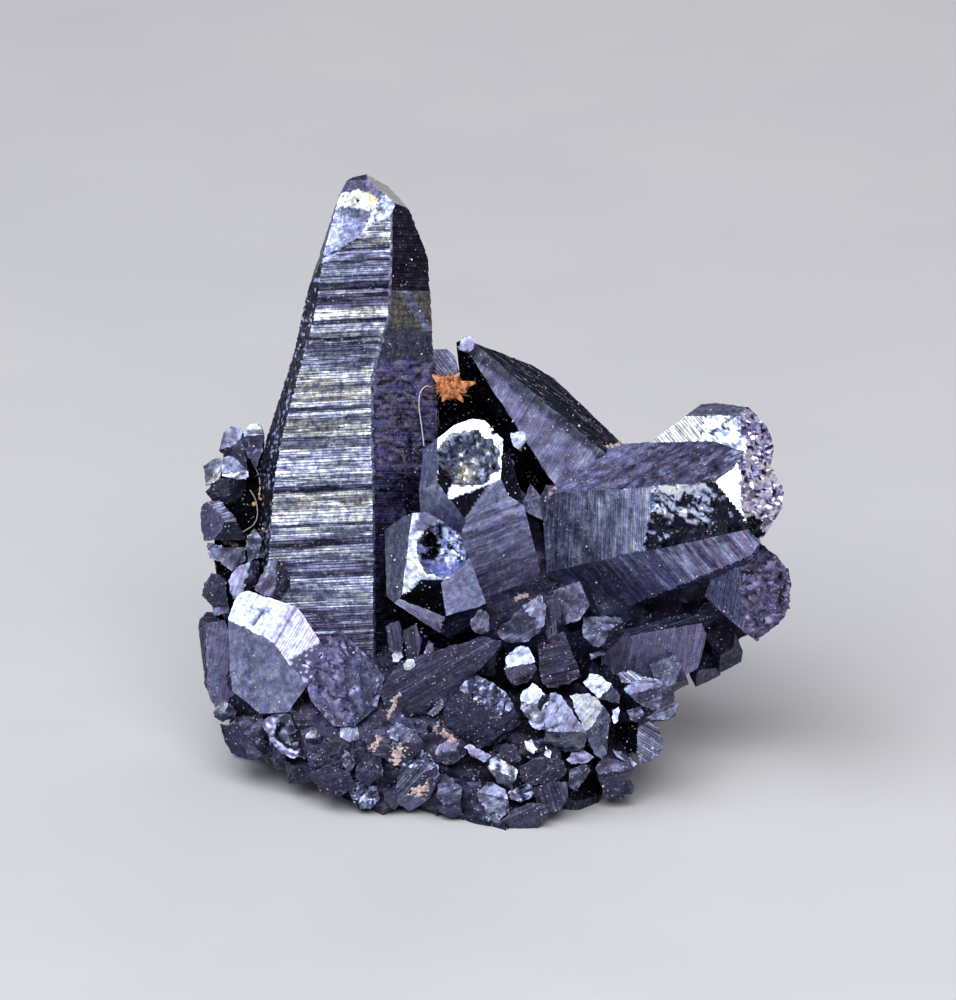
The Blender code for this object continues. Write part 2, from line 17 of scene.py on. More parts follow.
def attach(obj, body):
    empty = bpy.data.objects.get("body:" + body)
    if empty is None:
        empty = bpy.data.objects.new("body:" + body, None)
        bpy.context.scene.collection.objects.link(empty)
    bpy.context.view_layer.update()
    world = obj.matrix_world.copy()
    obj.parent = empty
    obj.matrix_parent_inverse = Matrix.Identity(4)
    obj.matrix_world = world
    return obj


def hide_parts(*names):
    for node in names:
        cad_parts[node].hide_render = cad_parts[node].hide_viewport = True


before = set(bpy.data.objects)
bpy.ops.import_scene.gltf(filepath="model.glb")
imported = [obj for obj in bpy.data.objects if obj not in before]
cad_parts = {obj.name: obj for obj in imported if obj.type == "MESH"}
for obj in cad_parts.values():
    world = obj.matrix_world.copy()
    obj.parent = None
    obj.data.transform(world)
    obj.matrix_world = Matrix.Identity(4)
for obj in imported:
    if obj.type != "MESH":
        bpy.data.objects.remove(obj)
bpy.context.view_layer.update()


# The table, the light and the view.
# The group rests on a pale matt table under one broad soft box, with smaller ones for its sides and its tip.
# Its shape is drawn upright in layout units, x to the right, y down and depth backwards, then leans back.
LAYOUT = 0.00005  # metres in a layout unit
UNIT_MM = 0.05  # millimetres in a layout unit
LEAN = math.radians(20)
FOOT = (495, 830)  # the point of the drawing that rests lowest, at depth 0
MIDDLE = (493, 190)  # middle of the leaning group, across and back
AIM = (478, 130, 500)  # what the camera looks at: x, depth, y
TIPPED = Matrix.Rotation(-LEAN, 3, "X")
PICTURE_HEIGHT = 1000 * LAYOUT
LENS = 500
SENSOR = 36


def settled(x, deep, y):
    """Where a point of the upright drawing comes to rest, in metres."""
    spot = TIPPED @ Vector((x - FOOT[0], deep, FOOT[1] - y))
    return (spot + Vector((FOOT[0] - MIDDLE[0], -MIDDLE[1], 0))) * LAYOUT


class Wire:
    """A value, a colour or a vector on its way through a material's nodes."""

    def __init__(self, tree, socket=None):
        self.tree = tree
        self.socket = socket

    def node(self, kind, settings, sockets, output=0):
        made = self.tree.nodes.new(kind)
        for name, value in settings.items():
            if name == "stops":
                while len(made.color_ramp.elements) < len(value):
                    made.color_ramp.elements.new(1)
                for stop, (place, colour) in zip(made.color_ramp.elements, value):
                    stop.position = place
                    stop.color = (*colour, 1)
            else:
                setattr(made, name, value)
        for name, value in sockets.items():
            if isinstance(value, Wire):
                self.tree.links.new(value.socket, made.inputs[name])
            else:
                made.inputs[name].default_value = value
        return Wire(self.tree, made.outputs[output])

    def maths(self, operation, *values):
        return self.node("ShaderNodeMath", {"operation": operation}, dict(enumerate(values)))

    def __add__(self, other):
        return self.maths("ADD", self, other)

    def __radd__(self, other):
        return self.maths("ADD", other, self)

    def __sub__(self, other):
        return self.maths("SUBTRACT", self, other)

    def __rsub__(self, other):
        return self.maths("SUBTRACT", other, self)

    def __mul__(self, other):
        return self.maths("MULTIPLY", self, other)

    def __rmul__(self, other):
        return self.maths("MULTIPLY", other, self)

    def clamped(self):
        return self.node("ShaderNodeClamp", {}, {0: self})

    def stretched(self, right, up, deep=1.0):
        return self.node("ShaderNodeVectorMath", {"operation": "MULTIPLY"}, {0: self, 1: (right, up, deep)})

    def noise(self, scale, detail=2.0, rough=0.5):
        return self.node("ShaderNodeTexNoise", {}, {"Vector": self, "Scale": scale, "Detail": detail,
                                                    "Roughness": rough})

    def step(self, low, high):
        """0 below low, 1 above high, smooth between."""
        settings = {"interpolation_type": "SMOOTHSTEP"}
        return self.node("ShaderNodeMapRange", settings, {"Value": self, "From Min": low, "From Max": high})

    def mixed(self, share, other):
        """This colour, turned into another one by a share."""
        sockets = {0: share, 6: self, 7: other}
        return self.node("ShaderNodeMix", {"data_type": "RGBA"}, sockets, 2)


def shader_of(name):
    """A new material's Principled shader, and the start of its wires."""
    material = bpy.data.materials.new(name)
    material.use_nodes = True
    return material, material.node_tree.nodes["Principled BSDF"], Wire(material.node_tree)


def plug(shader, **wires):
    for name, wire in wires.items():
        shader.id_data.links.new(wire.socket, shader.inputs[name.replace("_", " ")])


def made_of(bm, name, material):
    """Makes the finished mesh an object of that name and material."""
    mesh = bpy.data.meshes.new(name)
    bm.to_mesh(mesh)
    bm.free()
    mesh.materials.append(material)
    piece = bpy.data.objects.new(name, mesh)
    bpy.context.scene.collection.objects.link(piece)
    return piece


table_finish, table_shader, wires = shader_of("pale_matt_board")
table_grain = wires.node("ShaderNodeTexCoord", {}, {}, "Object").noise(60, 3)
pale = table_grain.node("ShaderNodeValToRGB",
                        {"stops": [(0.3, (0.74, 0.74, 0.76)), (0.7, (0.78, 0.78, 0.79))]}, {0: table_grain})
plug(table_shader, Base_Color=pale)
table_shader.inputs["Roughness"].default_value = 0.8
table_top = bmesh.new()
bmesh.ops.create_circle(table_top, cap_ends=True, radius=2.5, segments=64)
table = made_of(table_top, "table", table_finish)


def soft_box(name, turn, rise, distance, width, height, strength, colour):
    """A soft box that faces the group, by its direction from the group as the camera sees it, in degrees."""
    turn, rise = math.radians(turn), math.radians(rise)
    way = TIPPED @ Vector((math.sin(turn) * math.cos(rise), -math.cos(turn) * math.cos(rise), math.sin(rise)))
    light = bpy.data.lights.new(name, "AREA")
    light.shape = "RECTANGLE"
    light.size = width
    light.size_y = height
    light.energy = strength * math.pi * width * height
    light.color = colour
    box = bpy.data.objects.new(name, light)
    box.location = settled(*AIM) + way * distance
    box.rotation_euler = way.to_track_quat("Z", "Y").to_euler()
    box.visible_camera = False
    bpy.context.scene.collection.objects.link(box)


soft_box("key_light", -7, 28, 0.35, 0.36, 0.25, 3.9, (0.97, 0.98, 1.0))
soft_box("side_light", -72, 8, 0.4, 0.5, 0.36, 0.5, (0.8, 0.84, 1.0))
soft_box("tip_light", -58, 54, 0.35, 0.2, 0.2, 2.6, (0.92, 0.95, 1.0))
soft_box("right_light", 82, 15, 0.4, 0.36, 0.3, 0.4, (1.0, 0.97, 1.0))
soft_box("rim_light", 150, 35, 0.4, 0.3, 0.2, 2.0, (1.0, 0.97, 0.92))

world = bpy.data.worlds.new("studio")
world.use_nodes = True
world.node_tree.nodes["Background"].inputs["Color"].default_value = (0.09, 0.09, 0.11, 1)
bpy.context.scene.world = world
bpy.context.scene.view_settings.view_transform = "Standard"

lens = bpy.data.cameras.new("view")
lens.lens = LENS
lens.sensor_width = SENSOR
lens.clip_start = 0.01
lens.clip_end = 20
camera = bpy.data.objects.new("view", lens)
away = TIPPED @ Vector((0, -1, 0))
camera.location = settled(*AIM) + away * PICTURE_HEIGHT * LENS / SENSOR
camera.rotation_euler = away.to_track_quat("Z", "Y").to_euler()
bpy.context.scene.collection.objects.link(camera)
bpy.context.scene.camera = camera


# The spire: one long leaning crystal, broken at its tip.
# It is hematite. Its broad front is a stack of level growth steps, its left edge is a rough dusty strip, and
# its right side is dark under a violet bloom. It has grown out of the middle of the group.
FINE_STREAKS = (0.75, 9.0)  # streaks in a millimetre, along the growth lines and across them
BROAD_STREAKS = (0.35, 2.6)
VIOLET = (0.35, 0.29, 0.50)
BLUE = (0.31, 0.37, 0.62)
STEEL = (0.46, 0.50, 0.58)
STRAW = (0.70, 0.68, 0.54)
RUST = (0.75, 0.42, 0.24)
BLOOM = ((0.12, 0.12, 0.40), (0.20, 0.17, 0.37), (0.27, 0.23, 0.33))
DUST = (0.75, 0.76, 0.82)


def hematite(name, dust=0.3, groove=1.0, wear=1.0):
    """Polished iron oxide. The lustre of each facet gives its tone, roughness, hue and violet bloom; its tone
    and its streaks carry painted light and shade.
    """
    material, shader, start = shader_of(name)
    lustre = start.node("ShaderNodeAttribute", {"attribute_name": "lustre"}, {}, "Color")
    bloom = Wire(start.tree, lustre.socket.node.outputs["Alpha"])
    tone = start.node("ShaderNodeSeparateColor", {}, {0: lustre}, "Red")
    rough = Wire(start.tree, tone.socket.node.outputs["Green"])
    hue = Wire(start.tree, tone.socket.node.outputs["Blue"])
    streak = start.node("ShaderNodeAttribute", {"attribute_name": "streak"}, {}, "Fac")
    lines = start.node("ShaderNodeUVMap", {"uv_map": "growth"}, {}, "UV")
    place = start.node("ShaderNodeTexCoord", {}, {}, "Object").stretched(1000, 1000, 1000)
    fine = lines.stretched(*FINE_STREAKS).noise(1.0, 3, 0.6)
    broad = lines.stretched(*BROAD_STREAKS).noise(1.0, 2)
    tint = lines.stretched(0.5, 5.0).noise(1.0, 2)
    blotch = place.noise(3.6, 5, 0.62).step(0.32, 0.68)
    mottle = place.noise(4.5, 4, 0.65)
    pits = place.noise(9, 4, 0.7).step(0.34, 0.66)
    # The streaks are painted bright and dark lines for the light off the growth steps, and also shift the
    # hue.
    streaks = (0.42 + fine.step(0.34, 0.7) * 0.85) * (0.65 + broad.step(0.35, 0.65) * 0.6)
    shade = hue + (tint - 0.5) * (0.1 + streak * 0.5)
    shade = shade + (streaks - 0.7) * streak * 0.25 + (blotch - 0.5) * 0.35
    stops = [(0.0, VIOLET), (0.2, BLUE), (0.38, STEEL), (0.6, STRAW), (0.85, STRAW), (1.0, RUST)]
    metal = shade.node("ShaderNodeValToRGB", {"stops": stops}, {0: shade * 0.7})
    # Painted light and wear: each facet's tone, with its painted streaks, then varied at random by blotches
    # and pits.
    painted_light_and_wear = tone * (1 + (streaks - 1) * streak) * (1 + wear * (blotch * 0.8 - 0.5))
    painted_light_and_wear = painted_light_and_wear * (1 + wear * (pits * 0.8 - 0.38))
    dim = metal.node("ShaderNodeVectorMath", {"operation": "SCALE"}, {0: metal, "Scale": painted_light_and_wear})
    haze = (bloom * (0.35 + mottle.step(0.35, 0.65) * 0.65)).clamped()
    flecks = place.node("ShaderNodeTexVoronoi", {"feature": "F1"}, {"Vector": place, "Scale": 5.0},
                        "Distance")
    patches = place.noise(1.3, 2).step(0.4, 0.65)
    speck = ((1 - flecks.step(0.14, 0.24)) * patches * dust).clamped()
    drift = place.noise(1.6, 4, 0.6)
    violet = drift.node("ShaderNodeValToRGB", {"stops": list(zip((0.4, 0.52, 0.64), BLOOM))}, {0: drift})
    colour = dim.mixed(haze * (0.8 + pits * 0.3), violet).mixed(speck, (*DUST, 1))
    plug(shader, Base_Color=colour, Metallic=(1 - haze * 0.8) * (1 - speck),
         Roughness=(rough + haze * 0.35 + speck * 0.5 + (mottle - 0.5) * 0.2).clamped())
    height = fine * 0.6 * streak + lines.stretched(1.5, 26.0).noise(1.0, 2) * 0.4 * streak + mottle * 0.35
    bump = height.node("ShaderNodeBump", {},
                       {"Height": height, "Strength": 0.5 * groove, "Distance": 0.00002})
    plug(shader, Normal=bump)
    return material


def wave(x, y, wide, high, seed):
    """Smooth noise between -1 and 1, in waves of about this width and height."""
    return noise.noise(Vector((x / wide, y / high, seed)))


Look = namedtuple("Look", "tone rough hue bloom streak")
PAINTED_HOLLOW_SHADE = Look(0.01, 0.4, 0.2, 0, 0)  # painted shade: near black, for a deep hollow that no light gets into


@dataclass
class Skin:
    """How one face has grown: the run of its lines, the size of its steps, and its lustre."""

    turn: float = None  # degrees that the lines rise to the right, seen from the front; None runs them round
    pitch: tuple = (3.0, 6.0)
    tilt: float = 0.12  # how much each step slopes towards the top, or to the right between upright lines
    jitter: float = 0.6
    riser: float = 0.8
    dark: float = 0.25  # how bright a riser is, next to its step: painted shade on the risers
    cell: float = 18.0
    jag: float = 0.15
    lump: float = 0.0
    lump_size: float = 14.0
    # tone: how bright the face is, partly its own lustre and partly painted light and shade; the highest
    # tones are painted highlights and those near 0 painted shade
    tone: float = 0.6
    spread: float = 0.3
    rough: float = 0.24
    hue: float = 0.3
    bloom: float = 0.0
    streak: float = 0.6  # how much of its brightness runs in streaks along the lines: painted bright and dark lines for the light off its growth steps
    rim: float = 0.3  # how much brighter it is along its edges: a painted highlight
    sheen: float = 0.0  # a painted sheen: how much its brightness changes from one end of it to the other
    form: object = None  # height at a point (x, y), for a form of its own
    paint: object = None  # changes the look at a point (x, y)


SHEEN_TURNS = 15  # below this seed, of 50, a face's painted sheen is bright at its foot instead of its head


class Relief:
    """The growth steps of one face: where each line runs, and how far the surface stands in or out there."""

    def __init__(self, normal, skin, axis, rng):
        self.normal = normal
        self.skin = skin
        self.seed = rng.uniform(0, 50)
        if skin.turn is None or abs(normal.y) < 0.15:
            along = normal.cross(axis)
            along = along if along.length > 0.2 else normal.orthogonal()
        else:
            turn = math.radians(skin.turn)
            right, up = math.cos(turn), math.sin(turn)
            along = Vector((right, -(normal.x * right + normal.z * up) / normal.y, up))
        self.along = along.normalized()
        self.across = normal.cross(self.along)
        if self.across.z + 0.3 * self.across.x < 0:
            self.across = -self.across

    def rule(self, corners, rng):
        """Rules the growth lines over the face's whole width, and gives the places of its cross cuts."""
        skin = self.skin
        ruled = 0.2 + 0.8 * skin.streak
        reach = [corner.dot(self.across) for corner in corners]
        self.marks, self.heights, self.tones, self.hues = [], [], [], []
        mark, high = min(reach) - 1, max(reach)
        self.low, self.high = mark, high
        while mark < high:
            width = rng.uniform(*skin.pitch)
            tone = skin.tone * (1 + ruled * rng.uniform(-skin.spread, skin.spread))
            hue = skin.hue + ruled * rng.uniform(-0.25, 0.25)
            if skin.tilt:
                riser = min(skin.riser, 0.35 * width)
                drop = skin.tilt * rng.uniform(1 - skin.jitter, 1 + skin.jitter) * (width - riser)
                self.marks += [mark, mark + width - riser]
                self.heights += [min(0, drop), min(0, -drop)]
                # the riser's tone is painted shade, darker than its step by the skin's dark share
                self.tones += [tone, tone * skin.dark]
                self.hues += [hue, hue]
            else:
                self.marks.append(mark)
                self.heights.append(0)
                self.tones.append(tone)
                self.hues.append(hue)
            mark += width
        spans = [corner.dot(self.along) for corner in corners]
        cells, place = [], min(spans)
        while place < max(spans):
            place += skin.cell * rng.uniform(0.7, 1.3)
            cells.append(place)
        return cells

    def height(self, spot):
        skin = self.skin
        u, s = spot.dot(self.along), spot.dot(self.across)
        steps = float(np.interp(s, self.marks, self.heights))
        high = steps * (0.75 + 0.6 * wave(u, s, 30, 8, self.seed))
        if skin.jag:
            high += skin.jag * wave(u, s, 2.3, 2.3, self.seed)
        if skin.lump:
            high += skin.lump * wave(u, s, skin.lump_size, skin.lump_size, self.seed + 9)
        if skin.form:
            high += skin.form(spot.x + FOOT[0], FOOT[1] - spot.z)
        return high

    def lustre(self, spot):
        skin = self.skin
        u, s = spot.dot(self.along), spot.dot(self.across)
        line = max(0, bisect_right(self.marks, s) - 1)
        wander = noise.noise(Vector((u / 20, line * 3.1, self.seed)))
        mottle = wave(u, s, 9, 7, self.seed) + 0.5 * wave(u, s, 3, 3, self.seed)
        tone = self.tones[line] * max(0.2, 1 + skin.spread * (wander + (1 - skin.streak) * 1.4 * mottle))
        # Painted sheen: the face is brighter towards one end.
        part = (s - self.low) / (self.high - self.low) - 0.5
        tone *= 1 + skin.sheen * 2 * (part if self.seed > SHEEN_TURNS else -part)
        look = Look(tone, skin.rough, self.hues[line], skin.bloom, skin.streak)
        if skin.paint:
            look = skin.paint(spot.x + FOOT[0], FOOT[1] - spot.z, look)
        return look


FARTHEST = 2  # the most that a corner between faces is moved by their steps
NEARLY_FLAT = 0.15  # faces that meet at less than this move their corners straight out
INSET = 0.9  # how near a triangle's own corners its lustre is read, so that neighbours may differ


def grow(bm, skins, axis, rng):
    """Cuts each face along its growth lines, moves the steps in and out, and gives each one its lustre."""
    tag = bm.faces.layers.int["face"]
    reliefs = {}
    for number in sorted({face[tag] for face in bm.faces}):
        faces = [face for face in bm.faces if face[tag] == number]
        normal = sum((face.normal * face.calc_area() for face in faces), Vector()).normalized()
        relief = Relief(normal, skins.get(number, skins["rest"]), axis, rng)
        corners = {vert for face in faces for vert in face.verts}
        cells = relief.rule([vert.co for vert in corners], rng)
        geom = faces + list({edge for face in faces for edge in face.edges}) + list(corners)
        for way, places in ((relief.across, relief.marks), (relief.along, cells)):
            for place in places:
                made = bmesh.ops.bisect_plane(bm, geom=geom, dist=1e-4, plane_co=way * place, plane_no=way)
                geom = made["geom"]
        reliefs[number] = relief
    moves, borders = [], set()
    for vert in bm.verts:
        near = [reliefs[number] for number in {face[tag] for face in vert.link_faces}]
        heights = [relief.height(vert.co) for relief in near]
        if len(near) > 1:
            borders.add(vert)
        if len(near) == 1:
            moves.append(near[0].normal * heights[0])
            continue
        rows = np.array([relief.normal for relief in near])
        move = Vector(np.linalg.lstsq(rows, np.array(heights), rcond=NEARLY_FLAT)[0])
        moves.append(move if move.length < FARTHEST else move * (FARTHEST / move.length))
    bmesh.ops.triangulate(bm, faces=bm.faces[:])
    uv = bm.loops.layers.uv.new("growth")
    lustre = bm.loops.layers.float_color.new("lustre")
    streak = bm.loops.layers.float.new("streak")
    for face in bm.faces:
        relief = reliefs[face[tag]]
        middle = face.calc_center_median()
        for loop in face.loops:
            spot = loop.vert.co
            look = relief.lustre(middle + (spot - middle) * INSET)
            # Painted highlight: corners on an edge between faces are brighter by the skin's rim share.
            rim = 1 + relief.skin.rim if loop.vert in borders else 1
            loop[lustre] = (look.tone * rim, *look[1:4])
            loop[streak] = look.streak
            u, s = spot.dot(relief.along), spot.dot(relief.across)
            loop[uv].uv = (u * UNIT_MM + relief.seed, s * UNIT_MM)
    bm.verts.index_update()
    for vert, move in zip(bm.verts, moves):
        vert.co += move
    return bm


def cut_off(bm, normal, point, number=-1):
    """Cuts away what lies beyond a plane, and closes the cut with one flat face of that number."""
    tag = bm.faces.layers.int["face"]
    everything = bm.verts[:] + bm.edges[:] + bm.faces[:]
    made = bmesh.ops.bisect_plane(
        bm, geom=everything, plane_co=point, plane_no=normal, clear_outer=True, dist=0.01
    )
    edges = [item for item in made["geom_cut"] if isinstance(item, bmesh.types.BMEdge) and item.is_boundary]
    if edges:
        for face in bmesh.ops.edgeloop_fill(bm, edges=edges)["faces"]:
            face[tag] = number


CREASE = math.radians(28)  # edges sharper than this stay sharp
pieces = []


def lean_back(bm):
    """Leans an upright mesh back about the foot, and sets it over the middle."""
    bmesh.ops.rotate(bm, verts=bm.verts, matrix=TIPPED)
    bmesh.ops.translate(bm, verts=bm.verts, vec=(FOOT[0] - MIDDLE[0], -MIDDLE[1], 0))


def to_metres(bm):
    bmesh.ops.scale(bm, verts=bm.verts, vec=(LAYOUT, LAYOUT, LAYOUT))


def settle(bm, name, material):
    """Leans the finished crystals back, cuts them level with the foot, and makes them one piece."""
    lean_back(bm)
    if min(vert.co.z for vert in bm.verts) < 0:
        cut_off(bm, Vector((0, 0, -1)), Vector((0, 0, 0)))
        bmesh.ops.triangulate(bm, faces=bm.faces[:])
    tag = bm.faces.layers.int["face"]
    for edge in bm.edges:
        numbers = {face[tag] for face in edge.link_faces}
        edge.smooth = len(edge.link_faces) == 2 and len(numbers) == 1 and edge.calc_face_angle() < CREASE
    for face in bm.faces:
        face.smooth = True
    to_metres(bm)
    piece = made_of(bm, name, material)
    pieces.append(piece)
    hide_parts("hematite_cluster")
    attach(piece, "root")


SPIRE = (
    # y, left shoulder, left and right edge of the front, right shoulder, then how deep shoulders and back lie
    (160, 346, 348, 378, 396, 16, 44),
    (205, 330, 334, 391, 408, 22, 62),
    (257, 316, 324, 391, 428, 27, 76),
    (315, 302, 315, 389, 432, 32, 86),
    (345, 296, 308, 380, 433, 34, 92),
    (378, 286, 298, 372, 437, 36, 98),
    (440, 266, 282, 372, 438, 40, 106),
    (480, 257, 275, 373, 438, 43, 112),
    (560, 254, 269, 374, 438, 47, 124),
    (720, 250, 266, 374, 438, 54, 140),
)
SPIRE_DEPTH = 96
BREAK = 200  # the number of the tip's first broken facet
SPIRE_CUTS = (
    # a point on each facet of the broken tip: x, y, depth, then its slope to the right and upwards
    (346, 247, 96, -0.45, 0.55),
    (372, 224, 96, -0.2, 0.62),
    (358, 186, 110, -0.6, 3.0),
    (385, 192, 108, 3.5, 4.2),
    (408, 208, 118, 2.4, 3.6),
    (424, 226, 124, 9.0, 3.5),
    (340, 200, 112, -6.0, 2.0),
)
SPIRE_BANDS = (
    # down the front: where a band starts, how bright it is, and its hue; the brightness paints the light and
    # shade off the growth steps
    (212, 1.1, 0.5), (236, 1.0, 0.45), (238, 1.9, 0.6), (240, 1.0, 0.5), (243, 1.5, 0.85), (246, 0.7, 0.5),
    (248, 0.05, 0.3), (251, 0.05, 0.3), (252, 0.9, 0.3), (260, 0.7, 0.28), (262, 0.1, 0.3), (264, 0.7, 0.3),
    (269, 0.6, 0.3), (270, 0.15, 0.3), (272, 0.6, 0.3), (275, 0.5, 0.3), (276, 0.1, 0.3), (278, 0.45, 0.3),
    (282, 0.4, 0.3), (283, 0.08, 0.3), (285, 0.4, 0.3), (287, 0.3, 0.3), (288, 0.04, 0.2), (291, 0.04, 0.2),
    (292, 1.4, 0.6), (294, 0.25, 0.1), (305, 0.35, 0.1), (308, 0.6, 0.4), (309, 1.25, 0.75),
    (317, 1.3, 0.8), (319, 0.8, 0.5), (320, 0.1, 0.3), (323, 0.12, 0.3), (325, 0.9, 0.5), (336, 0.8, 0.45),
    (338, 0.12, 0.3), (340, 0.12, 0.3), (341, 1.4, 0.6), (343, 0.3, 0.28), (350, 0.35, 0.28),
    (352, 0.7, 0.35), (368, 0.8, 0.4), (371, 1.1, 0.6), (394, 1.2, 0.75), (398, 0.9, 0.5), (405, 0.8, 0.45),
    (406, 0.2, 0.3), (409, 0.2, 0.3), (410, 1.0, 0.5), (415, 1.0, 0.6), (417, 0.5, 0.4), (419, 0.95, 0.6),
    (434, 1.1, 0.65), (436, 0.2, 0.3), (439, 0.2, 0.3), (441, 0.9, 0.45), (484, 0.95, 0.5), (485, 0.1, 0.3),
    (490, 0.1, 0.3), (491, 1.1, 0.6), (521, 0.95, 0.45), (523, 0.08, 0.3), (525, 0.9, 0.45),
    (537, 0.85, 0.4), (538, 0.1, 0.2), (543, 0.1, 0.2), (545, 0.9, 0.45), (558, 1.0, 0.35), (561, 0.5, 0.2),
    (574, 0.4, 0.2), (577, 1.1, 0.4), (598, 1.4, 0.5), (604, 1.1, 0.35), (607, 0.42, 0.15),
    (628, 0.36, 0.1), (631, 1.6, 0.35), (633, 0.4, 0.15), (636, 1.4, 0.3), (638, 0.3, 0.1), (700, 0.2, 0.1),
)
# the lower edge of the tip's break
TIP_EDGE = ((322, 259), (340, 251), (358, 240), (366, 226), (372, 212), (380, 200), (384, 180))


def spire_solid():
    bm = bmesh.new()
    tag = bm.faces.layers.int.new("face")
    rings = []
    for y, left, front_left, front_right, right, shoulder, back in SPIRE:
        across = right - left
        section = (
            (left, shoulder),
            (front_left, 0),
            (front_right - 1, 0),
            (front_right + 1.5, 3),
            (right, shoulder),
            (right - 0.22 * across, back),
            (left + 0.2 * across, back - 6),
        )
        rings.append([bm.verts.new((x - FOOT[0], SPIRE_DEPTH + deep, FOOT[1] - y)) for x, deep in section])
    bm.faces.new(rings[0])
    bm.faces.new(reversed(rings[-1]))
    for level, (high, low) in enumerate(zip(rings, rings[1:])):
        for side in range(7):
            n = (side + 1) % 7
            face = bm.faces.new((high[side], low[side], low[n], high[n]))
            face[tag] = 10 * level + side
    bmesh.ops.recalc_face_normals(bm, faces=bm.faces)
    for number, (x, y, depth, a, b) in enumerate(SPIRE_CUTS):
        point = Vector((x - FOOT[0], depth, FOOT[1] - y))
        cut_off(bm, Vector((a, -1, b)).normalized(), point, BREAK + number)
    return bm


def tip_side(x, y):
    """Above 0 on the smooth break at the left of the tip, below 0 on the ruled front."""
    return float(np.interp(x, [spot[0] for spot in TIP_EDGE], [spot[1] for spot in TIP_EDGE])) - y


def tip_look(x, y, look):
    y += 1.5 * wave(x, y, 6, 6, 2)
    if y < 192 - 0.25 * (x - 350) and x < 366:
        return Look(0.25, 0.45, 0.15, 0.26, 0)
    if x > 362 and y < 190 + 0.55 * (x - 362):
        return Look(0.5 * look.tone, 0.4, 0.1, 0.25, 0)
    # A small spot is painted near black, as shade.
    if math.hypot(x - 358, y - 201) < 1.8:
        return Look(0.02, 0.4, 0.2, 0, 0)
    if y < 207 + 0.15 * (x - 345):
        rusty = 0.75 + 0.6 * min(1, max(0, (x - 362) / 8))
        return Look(1.0 * look.tone, 0.3, rusty, 0.05, 0)
    if y < 219 - 0.35 * abs(x - 354) and x > 341:
        return Look(0.25, 0.3, 0.3, 0.15, 0)
    lilac = min(1.0, max(0.0, (x - 338 + 0.5 * (y - 228)) / 20))
    return Look((0.95 - 0.4 * lilac) * look.tone, 0.3, 0.4 - 0.2 * lilac, 0.12 * lilac, 0.15)


def front_look(x, y, look):
    side = tip_side(x, y)
    # A thin line just above the break's lower edge is painted near black, as shade under the edge.
    if side > 0:
        return tip_look(x, y, look) if side > 1.5 else Look(0.02, 0.4, 0.2, 0, 0)
    # Painted highlights and shade: bright and dark bands run down the front, each with its hue.
    level = y + 0.045 * (x - 335) + 1.2 * wave(x, y, 25, 7, 1)
    band = bisect_right([row[0] for row in SPIRE_BANDS], level) - 1
    _, share, hue = SPIRE_BANDS[max(0, band)]
    return look._replace(tone=look.tone * share, hue=hue + 0.3 * (look.hue - 0.5))


def strip_look(x, y, look):
    """The left edge: dark and crumbled, with bright broken specks painted as glints."""
    speck = wave(x, y, 2.2, 3.0, 4) + 0.4 * wave(x, y, 9, 12, 8)
    if speck > 0.36:
        return Look(3.0, 0.5, 0.3, 0.15, 0)
    return look._replace(bloom=0.1 + 0.3 * max(0.0, speck))


def side_look(x, y, look):
    """The dark side: black at the top, brown with a blue sheen, grey with dust, then violet."""
    mottle = wave(x, y, 9, 4, 5) + 0.7 * wave(x, y, 3, 2, 7)
    if y < 291:
        return look._replace(tone=look.tone * (0.4 + max(0.0, mottle)), bloom=0.03)
    ragged = 6 * wave(x, y, 9, 9, 3)
    if y < 331 + ragged:
        sheen = max(0.0, 1 - abs(x - 407 - 0.6 * (y - 295)) / 8)
        return Look(0.3 + 0.8 * sheen, 0.3, 0.85 - 0.6 * min(1, 1.5 * sheen), 0.09, 0.6)
    if y < 362 + ragged:
        return Look(0.22, 0.4, 0.4, 0.22, 0.3)
    bloom = np.interp(y, (362, 372, 440, 456, 470, 480, 498, 512, 530, 640),
                      (0.95, 0.7, 0.6, 0.75, 0.55, 0.15, 0.12, 0.36, 0.12, 0.06))
    share = min(2.0, max(0.15, 1 + 1.5 * mottle))
    return look._replace(bloom=float(bloom) * share, hue=0.1, tone=look.tone * 1.3 * share)


spire_skins = {"rest": Skin(pitch=(6, 14), cell=40, tone=0.35, hue=0.1, bloom=0.3, rough=0.35)}
down_the_spire = (
    Skin(turn=60, pitch=(2, 3), cell=2.6, tilt=0, jag=1.6, tone=0.1, spread=0.8, rough=0.42, hue=0.3,
         streak=0, paint=strip_look),
    Skin(turn=2.5, pitch=(1.6, 4.0), cell=7, tilt=0.2, jitter=0.35, dark=0.6, jag=0.1, tone=0.85,
         rough=0.36, hue=0.4, bloom=0.12, streak=0.8, paint=front_look),
    Skin(turn=60, pitch=(2, 3), cell=2.4, tilt=0, jag=1.1, tone=1.2, spread=0.8, rough=0.5, hue=0.25,
         streak=0),
    Skin(turn=0, pitch=(2, 4), cell=3.2, tilt=0.08, jag=0.35, tone=0.24, rough=0.32, hue=0.05,
         streak=0.4, paint=side_look),
)
for level in range(len(SPIRE) - 1):
    for side, skin in enumerate(down_the_spire):
        spire_skins[10 * level + side] = skin
smooth_break = Skin(turn=12, pitch=(2, 3), cell=2.5, tilt=0, jag=0.15, lump=0.8, lump_size=9, tone=1.0,
                    spread=0.2, streak=0.1, paint=front_look)
lilac_break = Skin(turn=12, pitch=(2, 3), cell=2.5, tilt=0, jag=0.3, tone=0.4, rough=0.4, hue=0.1,
                   bloom=0.3, streak=0.1)
dark_break = Skin(turn=0, pitch=(4, 8), tilt=0.05, jag=0.4, tone=0.15, rough=0.3, hue=0.2)
for number, skin in enumerate((smooth_break, smooth_break, smooth_break, lilac_break, dark_break)):
    spire_skins[BREAK + number] = skin
spire_metal = hematite("striated_hematite", dust=0.5, groove=0.45)
